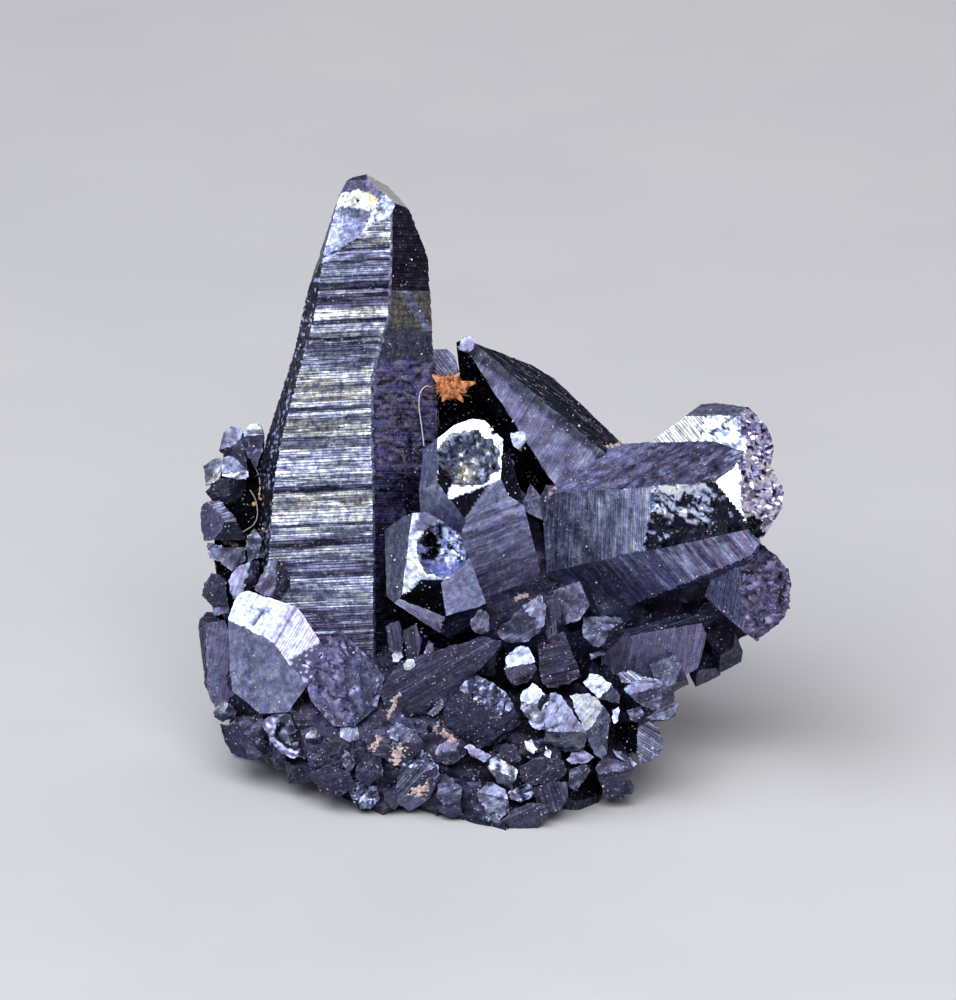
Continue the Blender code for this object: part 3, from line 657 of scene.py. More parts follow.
spire = grow(spire_solid(), spire_skins, Vector((0.1, 0, 1)), random.Random(3))
settle(spire, "spire", spire_metal)


# The back chip: a thin broken plate behind the lint, striped from top left to bottom right.
# Like the crystals that follow, it is one angular block of hematite whose drawn faces meet along straight
# edges, under a little dust. It has grown out of the foot between the spire and the fang.
FALL = 0.05  # how much the unseen sides of such a crystal close in towards the back
NOTCH = 3  # the most that an unseen side may cut off it
SLOPE_WEIGHT = 30  # how firmly a face keeps its slope, against meeting its neighbours exactly


def plane_slopes(faces, depth):
    """Each face as depth = a*x + b*up + c, fitted so that neighbours meet along the edges they share."""
    centre = np.mean([p for face in faces for p in face[2:]], axis=0)
    rows, values = [], []

    def add(weight, value, *terms):
        row = np.zeros(3 * len(faces))
        for column, amount in terms:
            row[column] += amount
        rows.append(row * weight)
        values.append(value * weight)

    for k, face in enumerate(faces):
        add(SLOPE_WEIGHT, face[0], (3 * k, 1))
        add(SLOPE_WEIGHT, face[1], (3 * k + 1, 1))
        for n in range(k):
            for x, y in sorted(set(face[2:]) & set(faces[n][2:])):
                u, v = x - centre[0], centre[1] - y
                add(1.0, 0, (3 * k, u), (3 * k + 1, v), (3 * k + 2, 1), (3 * n, -u), (3 * n + 1, -v),
                    (3 * n + 2, -1))
    x, y = faces[0][2]
    add(10.0, depth, (0, x - centre[0]), (1, centre[1] - y), (2, 1))
    fit = np.linalg.lstsq(np.array(rows), np.array(values), rcond=None)[0].reshape(-1, 3)
    return [tuple(row) for row in fit], centre


def drawn_planes(depth, thickness, run, faces):
    """Outward planes, as (normal, point) in drawing axes right, back and up, that bound a drawn crystal."""
    slopes, centre = plane_slopes(faces, depth)
    corners, planes, used = [], [], {}
    for (a, b, c), face in zip(slopes, faces):
        ring = [
            Vector((x - centre[0], a * (x - centre[0]) + b * (centre[1] - y) + c, centre[1] - y))
            for x, y in face[2:]
        ]
        corners += ring
        planes.append((Vector((a, -1, b)).normalized(), sum(ring, Vector()) / len(ring)))
        area = sum(p.x * q.z - q.x * p.z for p, q in zip(ring, ring[1:] + ring[:1]))
        for k in range(len(ring)):
            pair = (face[2 + k], face[2 + (k + 1) % len(ring)])
            ends = (ring[k], ring[(k + 1) % len(ring)])
            used.setdefault(frozenset(pair), []).append(ends if area > 0 else ends[::-1])
    run = Vector(run).normalized()
    sides = []
    for ends in used.values():
        if len(ends) > 1:
            continue
        p, q = ends[0]
        out = Vector((q.z - p.z, 0, p.x - q.x)).normalized()
        aim = run - out * (max(0.0, run.dot(out)) + FALL)
        for share in (1.0, 0.8, 0.6, 0.4, 0.2, 0.0):
            normal = (q - p).cross(aim * share + Vector((0, 1 - share, 0))).normalized()
            normal = normal if normal.dot(out) > 0 else -normal
            if max(normal.dot(corner - p) for corner in corners) < NOTCH:
                sides.append((normal, p))
                break
    middle = Vector((0, depth + thickness / 2, 0))
    closing = []
    for normal, point in planes:
        far = 2 * middle - point
        reach = max(max(-normal.dot(corner) for corner in corners) + 4, -normal.dot(far))
        closing.append((-normal, -normal * reach))
    closing.append((Vector((0, 1, 0)), Vector((0, depth + thickness, 0))))
    shift = Vector((centre[0] - FOOT[0], 0, FOOT[1] - centre[1]))
    return [(normal, point + shift) for normal, point in planes + sides + closing]


def solid_of_planes(planes, centre, reach=700):
    bm = bmesh.new()
    bm.faces.layers.int.new("face")
    bmesh.ops.create_cube(bm, size=2 * reach)
    bmesh.ops.translate(bm, verts=bm.verts, vec=centre)
    for number, (normal, point) in enumerate(planes):
        cut_off(bm, normal, point, number)
    return bm


HIDDEN = Skin(pitch=(5, 12), cell=30, tilt=0.05, dark=0.55, jag=0.4, tone=0.4, hue=0.1, bloom=0.3,
              rough=0.35)


def crystal(name, material, depth, thickness, run, faces, skins, seed, rest=HIDDEN):
    """Makes a drawn crystal: its faces as slopes and corners, and the skin of each."""
    planes = drawn_planes(depth, thickness, run, faces)
    coats = dict(enumerate(skins))
    coats["rest"] = rest
    bm = grow(solid_of_planes(planes, planes[0][1]), coats, Vector(run), random.Random(seed))
    settle(bm, name, material)


prism_metal = hematite("dusty_hematite", dust=0.6, wear=0.6)
crystal(
    "back_chip", prism_metal, 192, 44, (0.0, 1.0, -0.3),
    [
        (0.05, 0.3, (430, 349), (447, 348), (456, 357), (462, 381), (429, 380)),
        (0.0, -0.6, (429, 380), (462, 381), (474, 450), (428, 450)),
    ],
    [
        Skin(turn=-52, pitch=(2, 4), cell=6, tilt=0.06, tone=0.32, hue=0.15, spread=0.4, rough=0.35),
        Skin(turn=0, tone=0.1),
    ],
    21,
)


# The fang: a tapering hematite crystal with a rounded tip, dark along its back and blue along its front.
# It stands behind the stub, and its foot has grown into the log.
def fang_look(x, y, look):
    ridge = y - 341 - 0.8 * (x - 472)
    if ridge < 16:
        return look._replace(hue=0.3, bloom=0.05, tone=look.tone * 0.22)
    blue = wave(x, y, 16, 12, 4)
    share = float(np.interp(ridge, (16, 60, 90), (0.75, 0.8, 1.1)))
    return look._replace(tone=look.tone * share * (1 + 0.8 * blue), hue=0.15 + 0.25 * blue)


crystal(
    "fang", prism_metal, 142, 96, (0.3, 1.0, -0.45),
    [
        (0.05, 0.06, (466, 349), (472, 341), (660, 500), (620, 540), (590, 540)),
        (0.85, 1.0, (472, 341), (500, 352), (530, 363), (556, 379), (582, 404), (604, 444), (670, 490),
         (660, 500)),
        (-0.9, -0.5, (466, 349), (590, 540), (540, 540), (462, 400), (457, 352)),
    ],
    [
        Skin(turn=58, pitch=(2, 5), tilt=-0.05, cell=5, dark=0.6, lump=1.2, tone=0.48, hue=0.1, bloom=0.25,
             rough=0.38, streak=0.3, paint=fang_look),
        Skin(turn=-35, pitch=(2, 5), tilt=0.1, cell=6, tone=0.4, hue=0.1, rough=0.3, jag=0.5),
        # The left face, in the gap behind the stub, is near black: painted shade.
        Skin(turn=-50, tone=0.05, bloom=0.05),
    ],
    22,
)


# The stub: a blunt prism of hematite whose end has broken into a cup inside a bright rim.
# It stands out to the front, and its root has grown into the spire and the log.
def chips(x, y, size, steep, turn=0.0, stretch=1.0):
    """Height of a broken surface: small flat facets at odd angles, drawn out along one direction."""
    right, up = math.cos(math.radians(turn)), math.sin(math.radians(turn))
    spot = Vector(((x * right - y * up) / (size * stretch), (x * up + y * right) / size, 0))
    heights = []
    for centre in noise.voronoi(spot)[1]:
        lean = noise.cell_vector(centre * 31.7) - Vector((0.5, 0.5, 0.5))
        away = spot - centre
        heights.append(size * (2 * steep * (lean.x * away.x + lean.y * away.y) + 0.5 * steep * lean.z))
    return min(heights)


def cup(x, y, middle, wide, high):
    """How far inside a broken cup a point lies: 0 outside its ragged rim, 1 on its floor."""
    away = math.hypot((x - middle[0]) / wide, (y - middle[1]) / high)
    ragged = 0.16 * wave(x, y, 8, 8, 3)
    return min(1.0, max(0.0, (1 - away + ragged) / 0.3))


def stub_form(x, y):
    share = cup(x, y, (468, 459), 31, 28)
    return share * (-15 + 3.5 * wave(x, y, 12, 12, 7) + chips(x, y, 8, 0.8))


def beside(x, y, start, end):
    """How far a point lies to the right of the way from start to end."""
    along = Vector((end[0] - start[0], end[1] - start[1])).normalized()
    return (y - start[1]) * along.x - (x - start[0]) * along.y


def stub_look(x, y, look):
    # Painted shade: the triangle and the crescent at the lower left of the cup, and the cracks at its top
    # right, are near black.
    if beside(x, y, (489, 484), (450, 499)) < 0:
        if beside(x, y, (489, 484), (465, 519)) > 0:
            return PAINTED_HOLLOW_SHADE
        return Look(0.3, 0.4, 0.2, 0.25, 0)
    share = cup(x, y, (468, 459), 31, 28)
    crack = wave(x, y, 7, 5, 4) + 0.6 * wave(x, y, 3, 2.5, 6)
    if math.hypot((x - 443) / 8, (y - 484) / 15) < 1 + 0.3 * crack:
        return PAINTED_HOLLOW_SHADE
    if x > 490 and y < 470 and crack > 0.22:
        return PAINTED_HOLLOW_SHADE
    if share < 0.08:
        return look
    # Cracks in the ring are painted near black, as shade.
    if share < 0.6:
        return look._replace(tone=look.tone * (1.1 if crack > -0.1 else 0.06))
    pink = max(0.0, 1 - math.hypot(x - 463, y - 468) / 14)
    return Look((0.6 + 1.0 * pink) * max(0.15, 1 + 1.5 * crack), 0.4, 0.45 + 0.6 * pink, 0.05, 0)


BROKEN_END = Skin(turn=0, pitch=(1.8, 2.6), cell=2.4, tilt=0, jag=0.3, streak=0)
stub_flank = Skin(turn=80, pitch=(6, 12), cell=8, tilt=-0.02, dark=0.8, lump=0.6, tone=0.65, hue=0.3,
                  rough=0.42, streak=0, bloom=0.12)
crystal(
    "stub", prism_metal, 86, 180, (0.25, 0.8, -0.5),
    [
        (-0.18, 0.38, (436, 440), (455, 425), (472, 419), (487, 421), (500, 436), (503, 480), (465, 519),
         (438, 484)),
        (-1.18, 0.33, (436, 440), (438, 484), (419, 491), (419, 476), (424, 446)),
        (-0.98, -0.24, (438, 484), (465, 519), (465, 533), (440, 540), (420, 530), (419, 491)),
        (0.43, -0.22, (503, 480), (508, 499), (465, 519)),
        (0.75, -0.9, (465, 519), (508, 499), (520, 498), (525, 513), (538, 550), (545, 584), (486, 616),
         (477, 588), (465, 533)),
        (1.5, -0.1, (500, 436), (508, 446), (516, 476), (520, 498), (508, 499), (503, 480)),
    ],
    [
        replace(BROKEN_END, tone=1.5, spread=0.08, rough=0.3, hue=0.5, form=stub_form, paint=stub_look),
        stub_flank,
        replace(stub_flank, tone=0.8),
        Skin(turn=20, pitch=(6, 12), cell=8, tilt=0.02, dark=0.8, tone=0.75, hue=0.25, rough=0.4, streak=0,
             sheen=0.2),
        Skin(turn=20.7, pitch=(2.0, 6), cell=6, tilt=0.18, jitter=0.7, dark=0.55, lump=0.6, tone=2.6,
             spread=0.4, hue=0.15, rough=0.4, bloom=0.35, streak=0.5),
        Skin(turn=None, tone=0.1),
    ],
    23,
)


# The button: the nearest prism, white-faced, with a broken end and a hollow below it that is painted black as
# shade.
# It is polished hematite, with painted highlights where the light catches it, and has grown out of the stub's
# side.
def button_form(x, y):
    share = cup(x, y, (443, 550), 25, 27)
    return share * (-13 + 4 * wave(x, y, 10, 10, 2) + chips(x, y, 9, 1.0, 40, 1.6))


def button_look(x, y, look):
    # Painted shade: the hollow under the face, and the holes in the broken end, are near black.
    if beside(x, y, (442, 579), (421, 579)) < 0 and beside(x, y, (421, 579), (404, 597)) < 0:
        return PAINTED_HOLLOW_SHADE
    share = cup(x, y, (441, 550), 26, 27)
    if share > 0.3:
        curl = wave(x, y, 7, 10, 4) + 0.5 * wave(x, y, 3, 3, 6)
        hole = max(1 - math.hypot((x - 426) / 9, (y - 538) / 9),
                   1 - math.hypot((x - 431) / 6, (y - 552) / 8))
        if hole > 0.3 * curl or (y < 560 and curl < -0.22):
            return Look(0.03, 0.35, 0.2, 0, 0)
        if y > 558:
            return Look(1.3 + 0.8 * curl, 0.36, 0.2, 0.12, 0)
        return Look(1.9 + 1.2 * curl, 0.3, 0.4, 0.05, 0)
    if x > 450 and y > 526 + 0.2 * (x - 450):
        return Look(0.12, 0.4, 0.1, 0.1, 0)
    if y < 530 and x > 414 + 0.35 * (530 - y):
        return look._replace(tone=look.tone * 0.3, bloom=0.2, hue=0.2)
    return look


crystal(
    "button", prism_metal, 50, 190, (0.1, 0.95, -0.2),
    [
        (-0.1, 0.32, (414, 513), (426, 512), (441, 520), (460, 533), (466, 548), (464, 568), (456, 577),
         (442, 579), (428, 578), (404, 596), (399, 600)),
        (-1.3, 0.1, (385, 530), (411, 511), (414, 513), (399, 600), (387, 599)),
        (-0.1, -0.6, (404, 596), (428, 578), (442, 579), (442, 612)),
        (0.4, -0.2, (442, 579), (456, 577), (474, 590), (474, 604), (444, 619), (442, 612)),
        (-0.3, -1.1, (399, 600), (404, 596), (442, 612), (444, 619), (442, 634), (400, 604)),
        (0.4, -1.3, (444, 619), (474, 604), (485, 605), (489, 614), (450, 639), (442, 634)),
    ],
    [
        replace(BROKEN_END, jag=0.2, tone=0.95, spread=0.08, rough=0.28, hue=0.52, form=button_form,
                paint=button_look),
        Skin(turn=85, pitch=(6, 12), cell=8, tilt=-0.02, dark=0.8, lump=0.5, tone=0.5, hue=0.4, rough=0.4,
             streak=0.15),
        # The face under the hollow is near black: painted shade.
        Skin(turn=0, tone=0.01, rough=0.4, streak=0),
        Skin(turn=-30, pitch=(6, 14), cell=6, tilt=0.01, dark=0.9, lump=0.8, lump_size=8, tone=1.0,
             spread=0.1, hue=0.2, rough=0.4, streak=0, bloom=0.05, sheen=-0.25),
        Skin(turn=-25, pitch=(2, 4), tilt=0.12, dark=0.6, tone=3.4, hue=0.15, rough=0.4, bloom=0.5,
             streak=0.3),
        Skin(turn=20, pitch=(2, 6), cell=10, tilt=0.3, dark=0.5, tone=0.8, hue=0.15, rough=0.3, streak=0.7),
    ],
    24,
)


# The log: the longest prism, lying to the right, lined on its front, with a glittering broken end.
# It is hematite with a dusty top, and rests where it has grown over the right of the foot.
def log_edge(x, y):
    """Above 0 where the log's front is broken, below 0 where it is still ruled."""
    return x - 648 - 7 * noise.noise(Vector((y / 9, 0, 1))) + 0.12 * (y - 520)


def log_form(x, y):
    if log_edge(x, y) < 0:
        return 0
    return -2 + 1.5 * wave(x, y, 20, 20, 4) + chips(x, y, 9, 0.5, 35, 2.2)


def log_look(x, y, look):
    if log_edge(x, y) < 0:
        blue = wave(x, y, 14, 20, 3)
        share = float(np.interp(x, (541, 575, 610, 645), (2.3, 1.6, 1.6, 2.2)))
        steel = 0.33 + 0.3 * (look.hue - 0.25) + 0.1 * blue
        return look._replace(tone=look.tone * share * (1 + 0.9 * blue), bloom=0.18, hue=steel)
    # Painted glints: the broken part is bright where its flakes catch the light, and near black between them.
    along, across = 0.82 * x + 0.57 * y, 0.82 * y - 0.57 * x
    glint = wave(along, across, 22, 8, 8) + 0.6 * wave(along, across, 7, 3, 2)
    glint += 0.25 - 0.02 * max(0.0, y - 500) - 0.25 * min(1.0, max(0.0, (x - 690) / 20))
    if glint < 0.05:
        return Look(0.06, 0.3, 0.3, 0.05, 0)
    return Look(1.2 + 2.8 * min(1.0, 2 * glint), 0.28, 0.32, 0.03, 0)


def log_flank(x, y, look):
    """The log's hidden flank lies in the shade of the stub."""
    return look._replace(tone=0.2 * look.tone, bloom=0.2 * look.bloom) if x < 548 and y < 560 else look


def log_end_form(x, y):
    return 2 * wave(x, y, 15, 15, 6) + chips(x, y, 8, 0.9, 25, 1.3)


def log_end_look(x, y, look):
    # Painted shade and glints: a hollow and the deepest cracks are near black, and the crumples between
    # brighten along the cracks.
    crack = wave(x, y, 8, 8, 3) + 0.7 * wave(x, y, 3, 3, 6)
    hollow = 1 - math.hypot((x - 752) / 10, (y - 528) / 13)
    if hollow > 0.3 * crack or crack < -0.25:
        return Look(0.03, 0.35, 0.2, 0.02, 0)
    return look._replace(tone=look.tone * (1.2 + 0.9 * crack), hue=0.05 + 0.2 * max(0.0, crack))


def log_top_look(x, y, look):
    dusty = max(0.0, 1 - math.hypot(x - 610, (y - 449) * 2) / 40)
    rough = wave(x, y, 12, 7, 3) + 0.6 * wave(x, y, 4, 3, 6)
    share = (1 + dusty) * float(np.interp(x, (560, 650, 700), (1.1, 0.8, 0.5))) * max(0.2, 1 + 1.1 * rough)
    # Painted glints: bright crumples at the right end of the top.
    if x > 690 and rough > 0.3 - 0.004 * (x - 690):
        return Look(1.4, 0.34, 0.3, 0.1, 0)
    return look._replace(bloom=min(1.0, look.bloom * (1 + 0.6 * rough) + 0.4 * dusty),
                         tone=look.tone * share)


crystal(
    "log", prism_metal, 135, 190, (-0.75, 0.65, 0.0),
    [
        (-0.5, 0.0, (541, 495), (709, 483), (742, 514), (743, 524), (547, 576)),
        (-0.4, 1.6, (541, 495), (552, 474), (598, 452), (620, 443), (716, 441), (740, 451), (735, 470),
         (709, 483)),
        (0.15, 0.4, (709, 483), (735, 470), (746, 500), (742, 514)),
        (1.2, 0.1, (740, 451), (768, 461), (782, 486), (782, 506), (770, 524), (754, 538), (743, 524),
         (742, 514), (746, 500), (735, 470)),
        (-0.6, -1.2, (547, 576), (743, 524), (754, 538), (740, 556), (618, 615), (595, 604)),
        (-0.5, -2.6, (618, 615), (740, 556), (734, 577), (699, 600), (645, 613)),
    ],
    [
        Skin(turn=88, pitch=(1.8, 3.2), cell=2.4, tilt=-0.07, dark=0.6, jag=0.15, tone=0.7, hue=0.25,
             rough=0.34, spread=0.5, streak=0.5, bloom=0.08, form=log_form, paint=log_look),
        Skin(turn=27, pitch=(2, 6), cell=4, tilt=0.05, dark=0.7, jag=0.5, lump=1.6, lump_size=9, tone=0.8,
             hue=0.15, rough=0.36, bloom=0.4, streak=0.3, paint=log_top_look),
        Skin(turn=0, pitch=(2, 3), cell=3, tilt=0, jag=0.3, tone=1.0, hue=0.5, rough=0.25, streak=0),
        replace(BROKEN_END, cell=2.2, jag=0.4, tone=2.4, spread=0.4, hue=0.3, rough=0.3, form=log_end_form,
                paint=log_end_look),
        Skin(turn=-50, pitch=(2.5, 5), cell=7, tilt=0.3, dark=0.4, jag=0.2, lump=0.6, tone=1.3, spread=0.4,
             hue=0.15, rough=0.36, bloom=0.15, streak=0.5),
        Skin(turn=-20, pitch=(4, 8), jag=1.0, cell=6, tone=0.2, bloom=0.3),
    ],
    25,
    replace(HIDDEN, cell=10, paint=log_flank),
)


# The top right crystal: pale stripes at its left, a shell-like bright break, and a glittering end.
# It is hematite, broken along its front, and has grown into the back of the log.
def shell_form(x, y):
    """A shell-like break, rippled round a point at its right."""
    if x < 702 - 0.35 * (y - 430):
        return 0
    away = math.hypot(x - 748, 1.3 * (y - 446))
    return 0.9 * math.sin(away / 4.2 + 2 * wave(x, y, 16, 16, 1)) + chips(x, y, 12, 0.25, 30, 1.5)


def shell_look(x, y, look):
    if x < 702 - 0.35 * (y - 430):
        return look
    # Painted highlight: the rippled break is bright, with darker swirls between.
    swirl = wave(x, y, 9, 7, 5) + 0.4 * wave(x, y, 3, 3, 2)
    return Look(1.9 if swirl > -0.15 else 0.55, 0.3, 0.42 + 0.3 * swirl, 0.05, 0)


def speckled(x, y, look):
    """A broken end: bright flakes painted as glints, between dark ones painted as shade."""
    fleck = wave(x, y, 5, 5, 8) + 0.7 * wave(x, y, 2.5, 2.5, 3)
    if fleck < -0.2:
        return Look(0.05, 0.35, 0.1, 0.04, 0)
    return look._replace(tone=look.tone * (1.15 + 1.0 * fleck))


def end_form(x, y):
    return chips(x, y, 6, 0.8, 50, 1.3)


crystal(
    "top_right", prism_metal, 160, 120, (-0.7, 0.7, -0.3),
    [
        (-0.35, 0.7, (654, 440), (684, 417), (738, 417), (748, 440), (754, 475), (660, 475)),
        (-0.1, 2.0, (684, 417), (697, 404), (725, 402), (748, 406), (738, 417)),
        (1.2, 0.3, (748, 406), (766, 422), (774, 438), (775, 452), (768, 475), (754, 475), (748, 440),
         (738, 417)),
    ],
    [
        Skin(turn=-50, pitch=(2, 3.6), cell=3, tilt=0.06, jag=0.15, tone=0.85, spread=0.5, hue=0.6,
             rough=0.26, streak=0.6, form=shell_form, paint=shell_look),
        Skin(turn=0, pitch=(2, 4), cell=4, tilt=0.02, jag=0.8, tone=1.0, hue=0.3, rough=0.4, bloom=0.2,
             streak=0.2),
        replace(BROKEN_END, cell=2.2, jag=0.4, tone=1.9, spread=0.5, hue=0.08, rough=0.3, bloom=0.14,
                form=end_form, paint=speckled),
    ],
    26,
)


# The low right crystal: a prism of hematite whose rough round end is turned to the front.
# It has grown out of the foot under the log.
def round_form(x, y):
    """Coarse facets that spread out from a point near the middle."""
    turn = -math.degrees(math.atan2(y - 592, x - 764))
    return 2 * wave(x, y, 14, 14, 3) + 0.7 * chips(x, y, 7, 0.7, 0) + 0.6 * math.sin(turn / 9)


def round_look(x, y, look):
    patch = wave(x, y, 8, 8, 6) + 0.6 * wave(x, y, 3, 3, 2)
    return look._replace(tone=look.tone * max(0.1, 1 + 1.4 * patch), bloom=0.3 * max(0.1, 1 + patch))


crystal(
    "low_right", prism_metal, 62, 210, (-0.75, 0.65, 0.05),
    [
        (0.25, 0.1, (740, 560), (745, 548), (757, 540), (770, 551), (788, 569), (791, 586), (788, 608),
         (779, 624), (766, 633), (749, 631), (734, 619)),
        (-1.3, -0.5, (740, 560), (734, 619), (749, 631), (745, 634), (704, 596), (712, 575)),
    ],
    [
        replace(BROKEN_END, turn=30, cell=2.2, jag=0.5, tone=0.36, spread=0.4, hue=0.08, rough=0.38,
                form=round_form, paint=round_look),
        Skin(turn=80, pitch=(3, 6), cell=6, tilt=-0.02, lump=0.6, tone=1.1, hue=0.2, rough=0.4, streak=0,
             bloom=0.2),
    ],
    27,
)


# The block: a short upright prism of hematite, low on the right, finely lined and dulled by dust.
# It has grown out of the front of the foot.
crystal(
    "block", prism_metal, 92, 110, (-0.4, 0.9, 0.05),
    [
        (0.1, -0.35, (601, 658), (615, 644), (630, 636), (700, 622), (707, 630), (703, 650), (698, 668),
         (682, 677), (659, 668), (613, 674), (600, 668)),
        (0.1, 1.5, (615, 632), (690, 612), (700, 622), (630, 636)),
    ],
    [
        Skin(turn=80, pitch=(2, 3.5), cell=9, tilt=-0.06, dark=0.6, tone=0.85, hue=0.1, rough=0.42,
             bloom=0.36, streak=0.6),
        Skin(turn=20, tone=0.5, rough=0.4),
    ],
    28,
)


# The white block: two bright faces, ruled with fine lines, over a dusty grey one.
# It is hematite and has grown out of the foot against the spire.
def block_look(x, y, look):
    """A dark streak and a notch cross the left face, the notch painted dark as shade; a violet band closes
    it.
    """
    if abs(y - 605 - 0.28 * (x - 247)) < 1.4 and 246 < x < 270:
        return look._replace(tone=look.tone * 0.35)
    if abs(y - 625 + 1.4 * (x - 254)) < 1.6 and 252 < x < 265:
        return look._replace(tone=look.tone * 0.1)
    if x + 0.55 * (y - 606) > 290:
        return look._replace(hue=0.1, streak=0.5, tone=look.tone * 0.8)
    return look


def facet_look(x, y, look):
    """A violet band crosses the right face, which turns dark and broken below its lower edge, with painted
    glints there.
    """
    if beside(x, y, (321, 641), (288, 660)) < 0:
        glint = wave(x, y, 5, 5, 3)
        return Look(1.4 if glint > 0.28 else 0.12, 0.35, 0.1, 0.15, 0)
    if abs(x + 0.55 * (y - 606) - 296) < 3.5:
        return look._replace(tone=look.tone * 0.55, hue=0.0)
    return look


crystal(
    "white_block", prism_metal, 90, 150, (0.4, 0.9, -0.05),
    [
        (-0.25, 0.5, (230, 607), (240, 593), (250, 590), (273, 598), (296, 605), (275, 642), (229, 619)),
        (0.05, 0.38, (296, 605), (303, 613), (321, 641), (288, 660), (275, 642)),
        (-0.57, -0.1, (229, 619), (275, 642), (288, 660), (297, 700), (289, 711), (261, 713), (233, 690),
         (228, 650)),
    ],
    [
        Skin(turn=60, pitch=(4, 9), cell=4, tilt=0.01, dark=0.7, jag=0.15, lump=1.0, tone=1.3, spread=0.12,
             hue=0.4, rough=0.3, streak=0, paint=block_look),
        Skin(turn=60, pitch=(2, 4), cell=3, tilt=0.04, dark=0.5, jag=0.1, tone=1.1, spread=0.25, hue=0.2,
             rough=0.28, streak=0.35, paint=facet_look),
        Skin(turn=40, pitch=(3, 6), cell=4, tilt=0, jag=0.8, lump=1.5, tone=0.7, spread=0.5, hue=0.33,
             rough=0.42, bloom=0.3, streak=0, sheen=0.15),
    ],
    29,
)


# The violet mound: a rough broken lump of hematite under a violet bloom.
# It fills the corner between the white block, the spire and the foot, and is grown into all three.
def mound_form(x, y):
    return chips(x, y, 16, 0.32) + chips(x, y, 6, 0.25)


def mound_look(x, y, look):
    patch = wave(x, y, 14, 12, 5) + 0.5 * wave(x, y, 4, 4, 2)
    return look._replace(tone=look.tone * max(0.2, 1 + 1.2 * patch), bloom=look.bloom * (1 - 0.5 * patch))


mound_skin = Skin(turn=30, pitch=(2, 3), cell=2.6, tilt=0, jag=0.5, lump=1.5, lump_size=10, tone=0.45,
                  hue=0.15, rough=0.4, bloom=0.42, streak=0, form=mound_form, paint=mound_look)
crystal(
    "violet_mound", prism_metal, 52, 150, (0.0, 1.0, -0.1),
    [
        (0.0, 0.6, (300, 660), (318, 645), (340, 648), (345, 675)),
        (0.33, 0.66, (340, 648), (355, 643), (377, 664), (385, 677), (345, 675)),
        (0.3, 0.1, (385, 677), (377, 707), (355, 725), (345, 675)),
        (-0.2, 0.0, (355, 725), (334, 725), (312, 700), (300, 660), (345, 675)),
    ],
    [mound_skin, mound_skin, replace(mound_skin, hue=0.25, bloom=0.25), mound_skin],
    30,
)


# The left slab: a thin upright plate of hematite at the left edge.
# It has grown out of the foot behind the white block.
crystal(
    "left_slab", prism_metal, 124, 90, (0.5, 0.9, 0.0),
    [
        (-0.1, -0.1, (206, 620), (226, 622), (225, 690), (230, 700), (214, 711), (207, 690)),
        (-0.5, 1.6, (197, 622), (206, 612), (222, 612), (226, 622), (206, 620)),
        (-1.6, -0.1, (197, 622), (206, 620), (207, 690), (205, 685), (201, 652)),
    ],
    [
        Skin(turn=80, pitch=(3, 6), cell=6, tilt=-0.05, dark=0.6, lump=1.0, tone=0.6, hue=0.15, bloom=0.35,
             rough=0.4, streak=0.3),
        Skin(turn=0, tone=0.5, rough=0.4),
        Skin(turn=80, tone=0.3, rough=0.4),
    ],
    31,
)


# The small crystals, grown round the feet of the large ones: prisms, plates and stubby rhombohedra.
# They are of the same hematite, duller and dustier, and grow out of the core at every angle.
SMALL_SEED = 11
MOST_FACES = 20  # more than any small crystal has
SCATTER_LEVELS = range(470, 800, 32)  # y of each ring of small crystals round the core
RING_START = -38  # degrees, the first crystal of a ring, and then from each one to the next
RING_STEP = 19.7
RING_COUNT = 14
SMALL = (
    # x, y, depth, half the width, half the length, the way it points, its roll in degrees, and its kind
    (694, 480, 218, 28, 84, (-0.8, 0.35, -0.35), 10, "prism"),
    (702, 664, 150, 14, 18, (0.6, -0.5, 0.1), 0, "rhomb"),
    (722, 648, 140, 13, 20, (0.8, -0.4, 0.2), 20, "rhomb"),
    (668, 676, 110, 15, 20, (0.6, -0.6, -0.1), 0, "rhomb"),
    (716, 640, 165, 14, 22, (0.8, -0.5, 0.2), 0, "prism"),
    (575, 605, 96, 18, 24, (0.5, -0.6, -0.2), 0, "rhomb"),
    (462, 486, 158, 26, 56, (0.1, 0.2, 0.9), 0, "prism"),
    (470, 570, 240, 34, 80, (-0.2, 0.8, 0.6), 0, "prism"),
    (566, 604, 262, 30, 66, (0.4, 0.8, 0.35), 20, "prism"),
    (340, 640, 280, 28, 60, (-0.3, 0.85, 0.45), 10, "prism"),
    (420, 694, 300, 30, 50, (0.1, 0.9, 0.1), 30, "rhomb"),
    (628, 676, 250, 26, 64, (0.75, 0.6, 0.1), 0, "prism"),
    (272, 560, 220, 26, 54, (-0.6, 0.6, 0.55), 15, "prism"),
)
CORE = (
    # y, then how far the foot reaches there: left, right, front and back
    (452, 320, 490, 160, 200),
    (500, 244, 600, 160, 240),
    (560, 222, 660, 172, 268),
    (620, 212, 700, 134, 290),
    (670, 212, 676, 76, 300),
    (715, 228, 656, 44, 304),
    (755, 254, 636, 34, 304),
    (795, 362, 596, 22, 304),
    (822, 452, 552, 12, 304),
    (850, 470, 540, 8, 300),
)


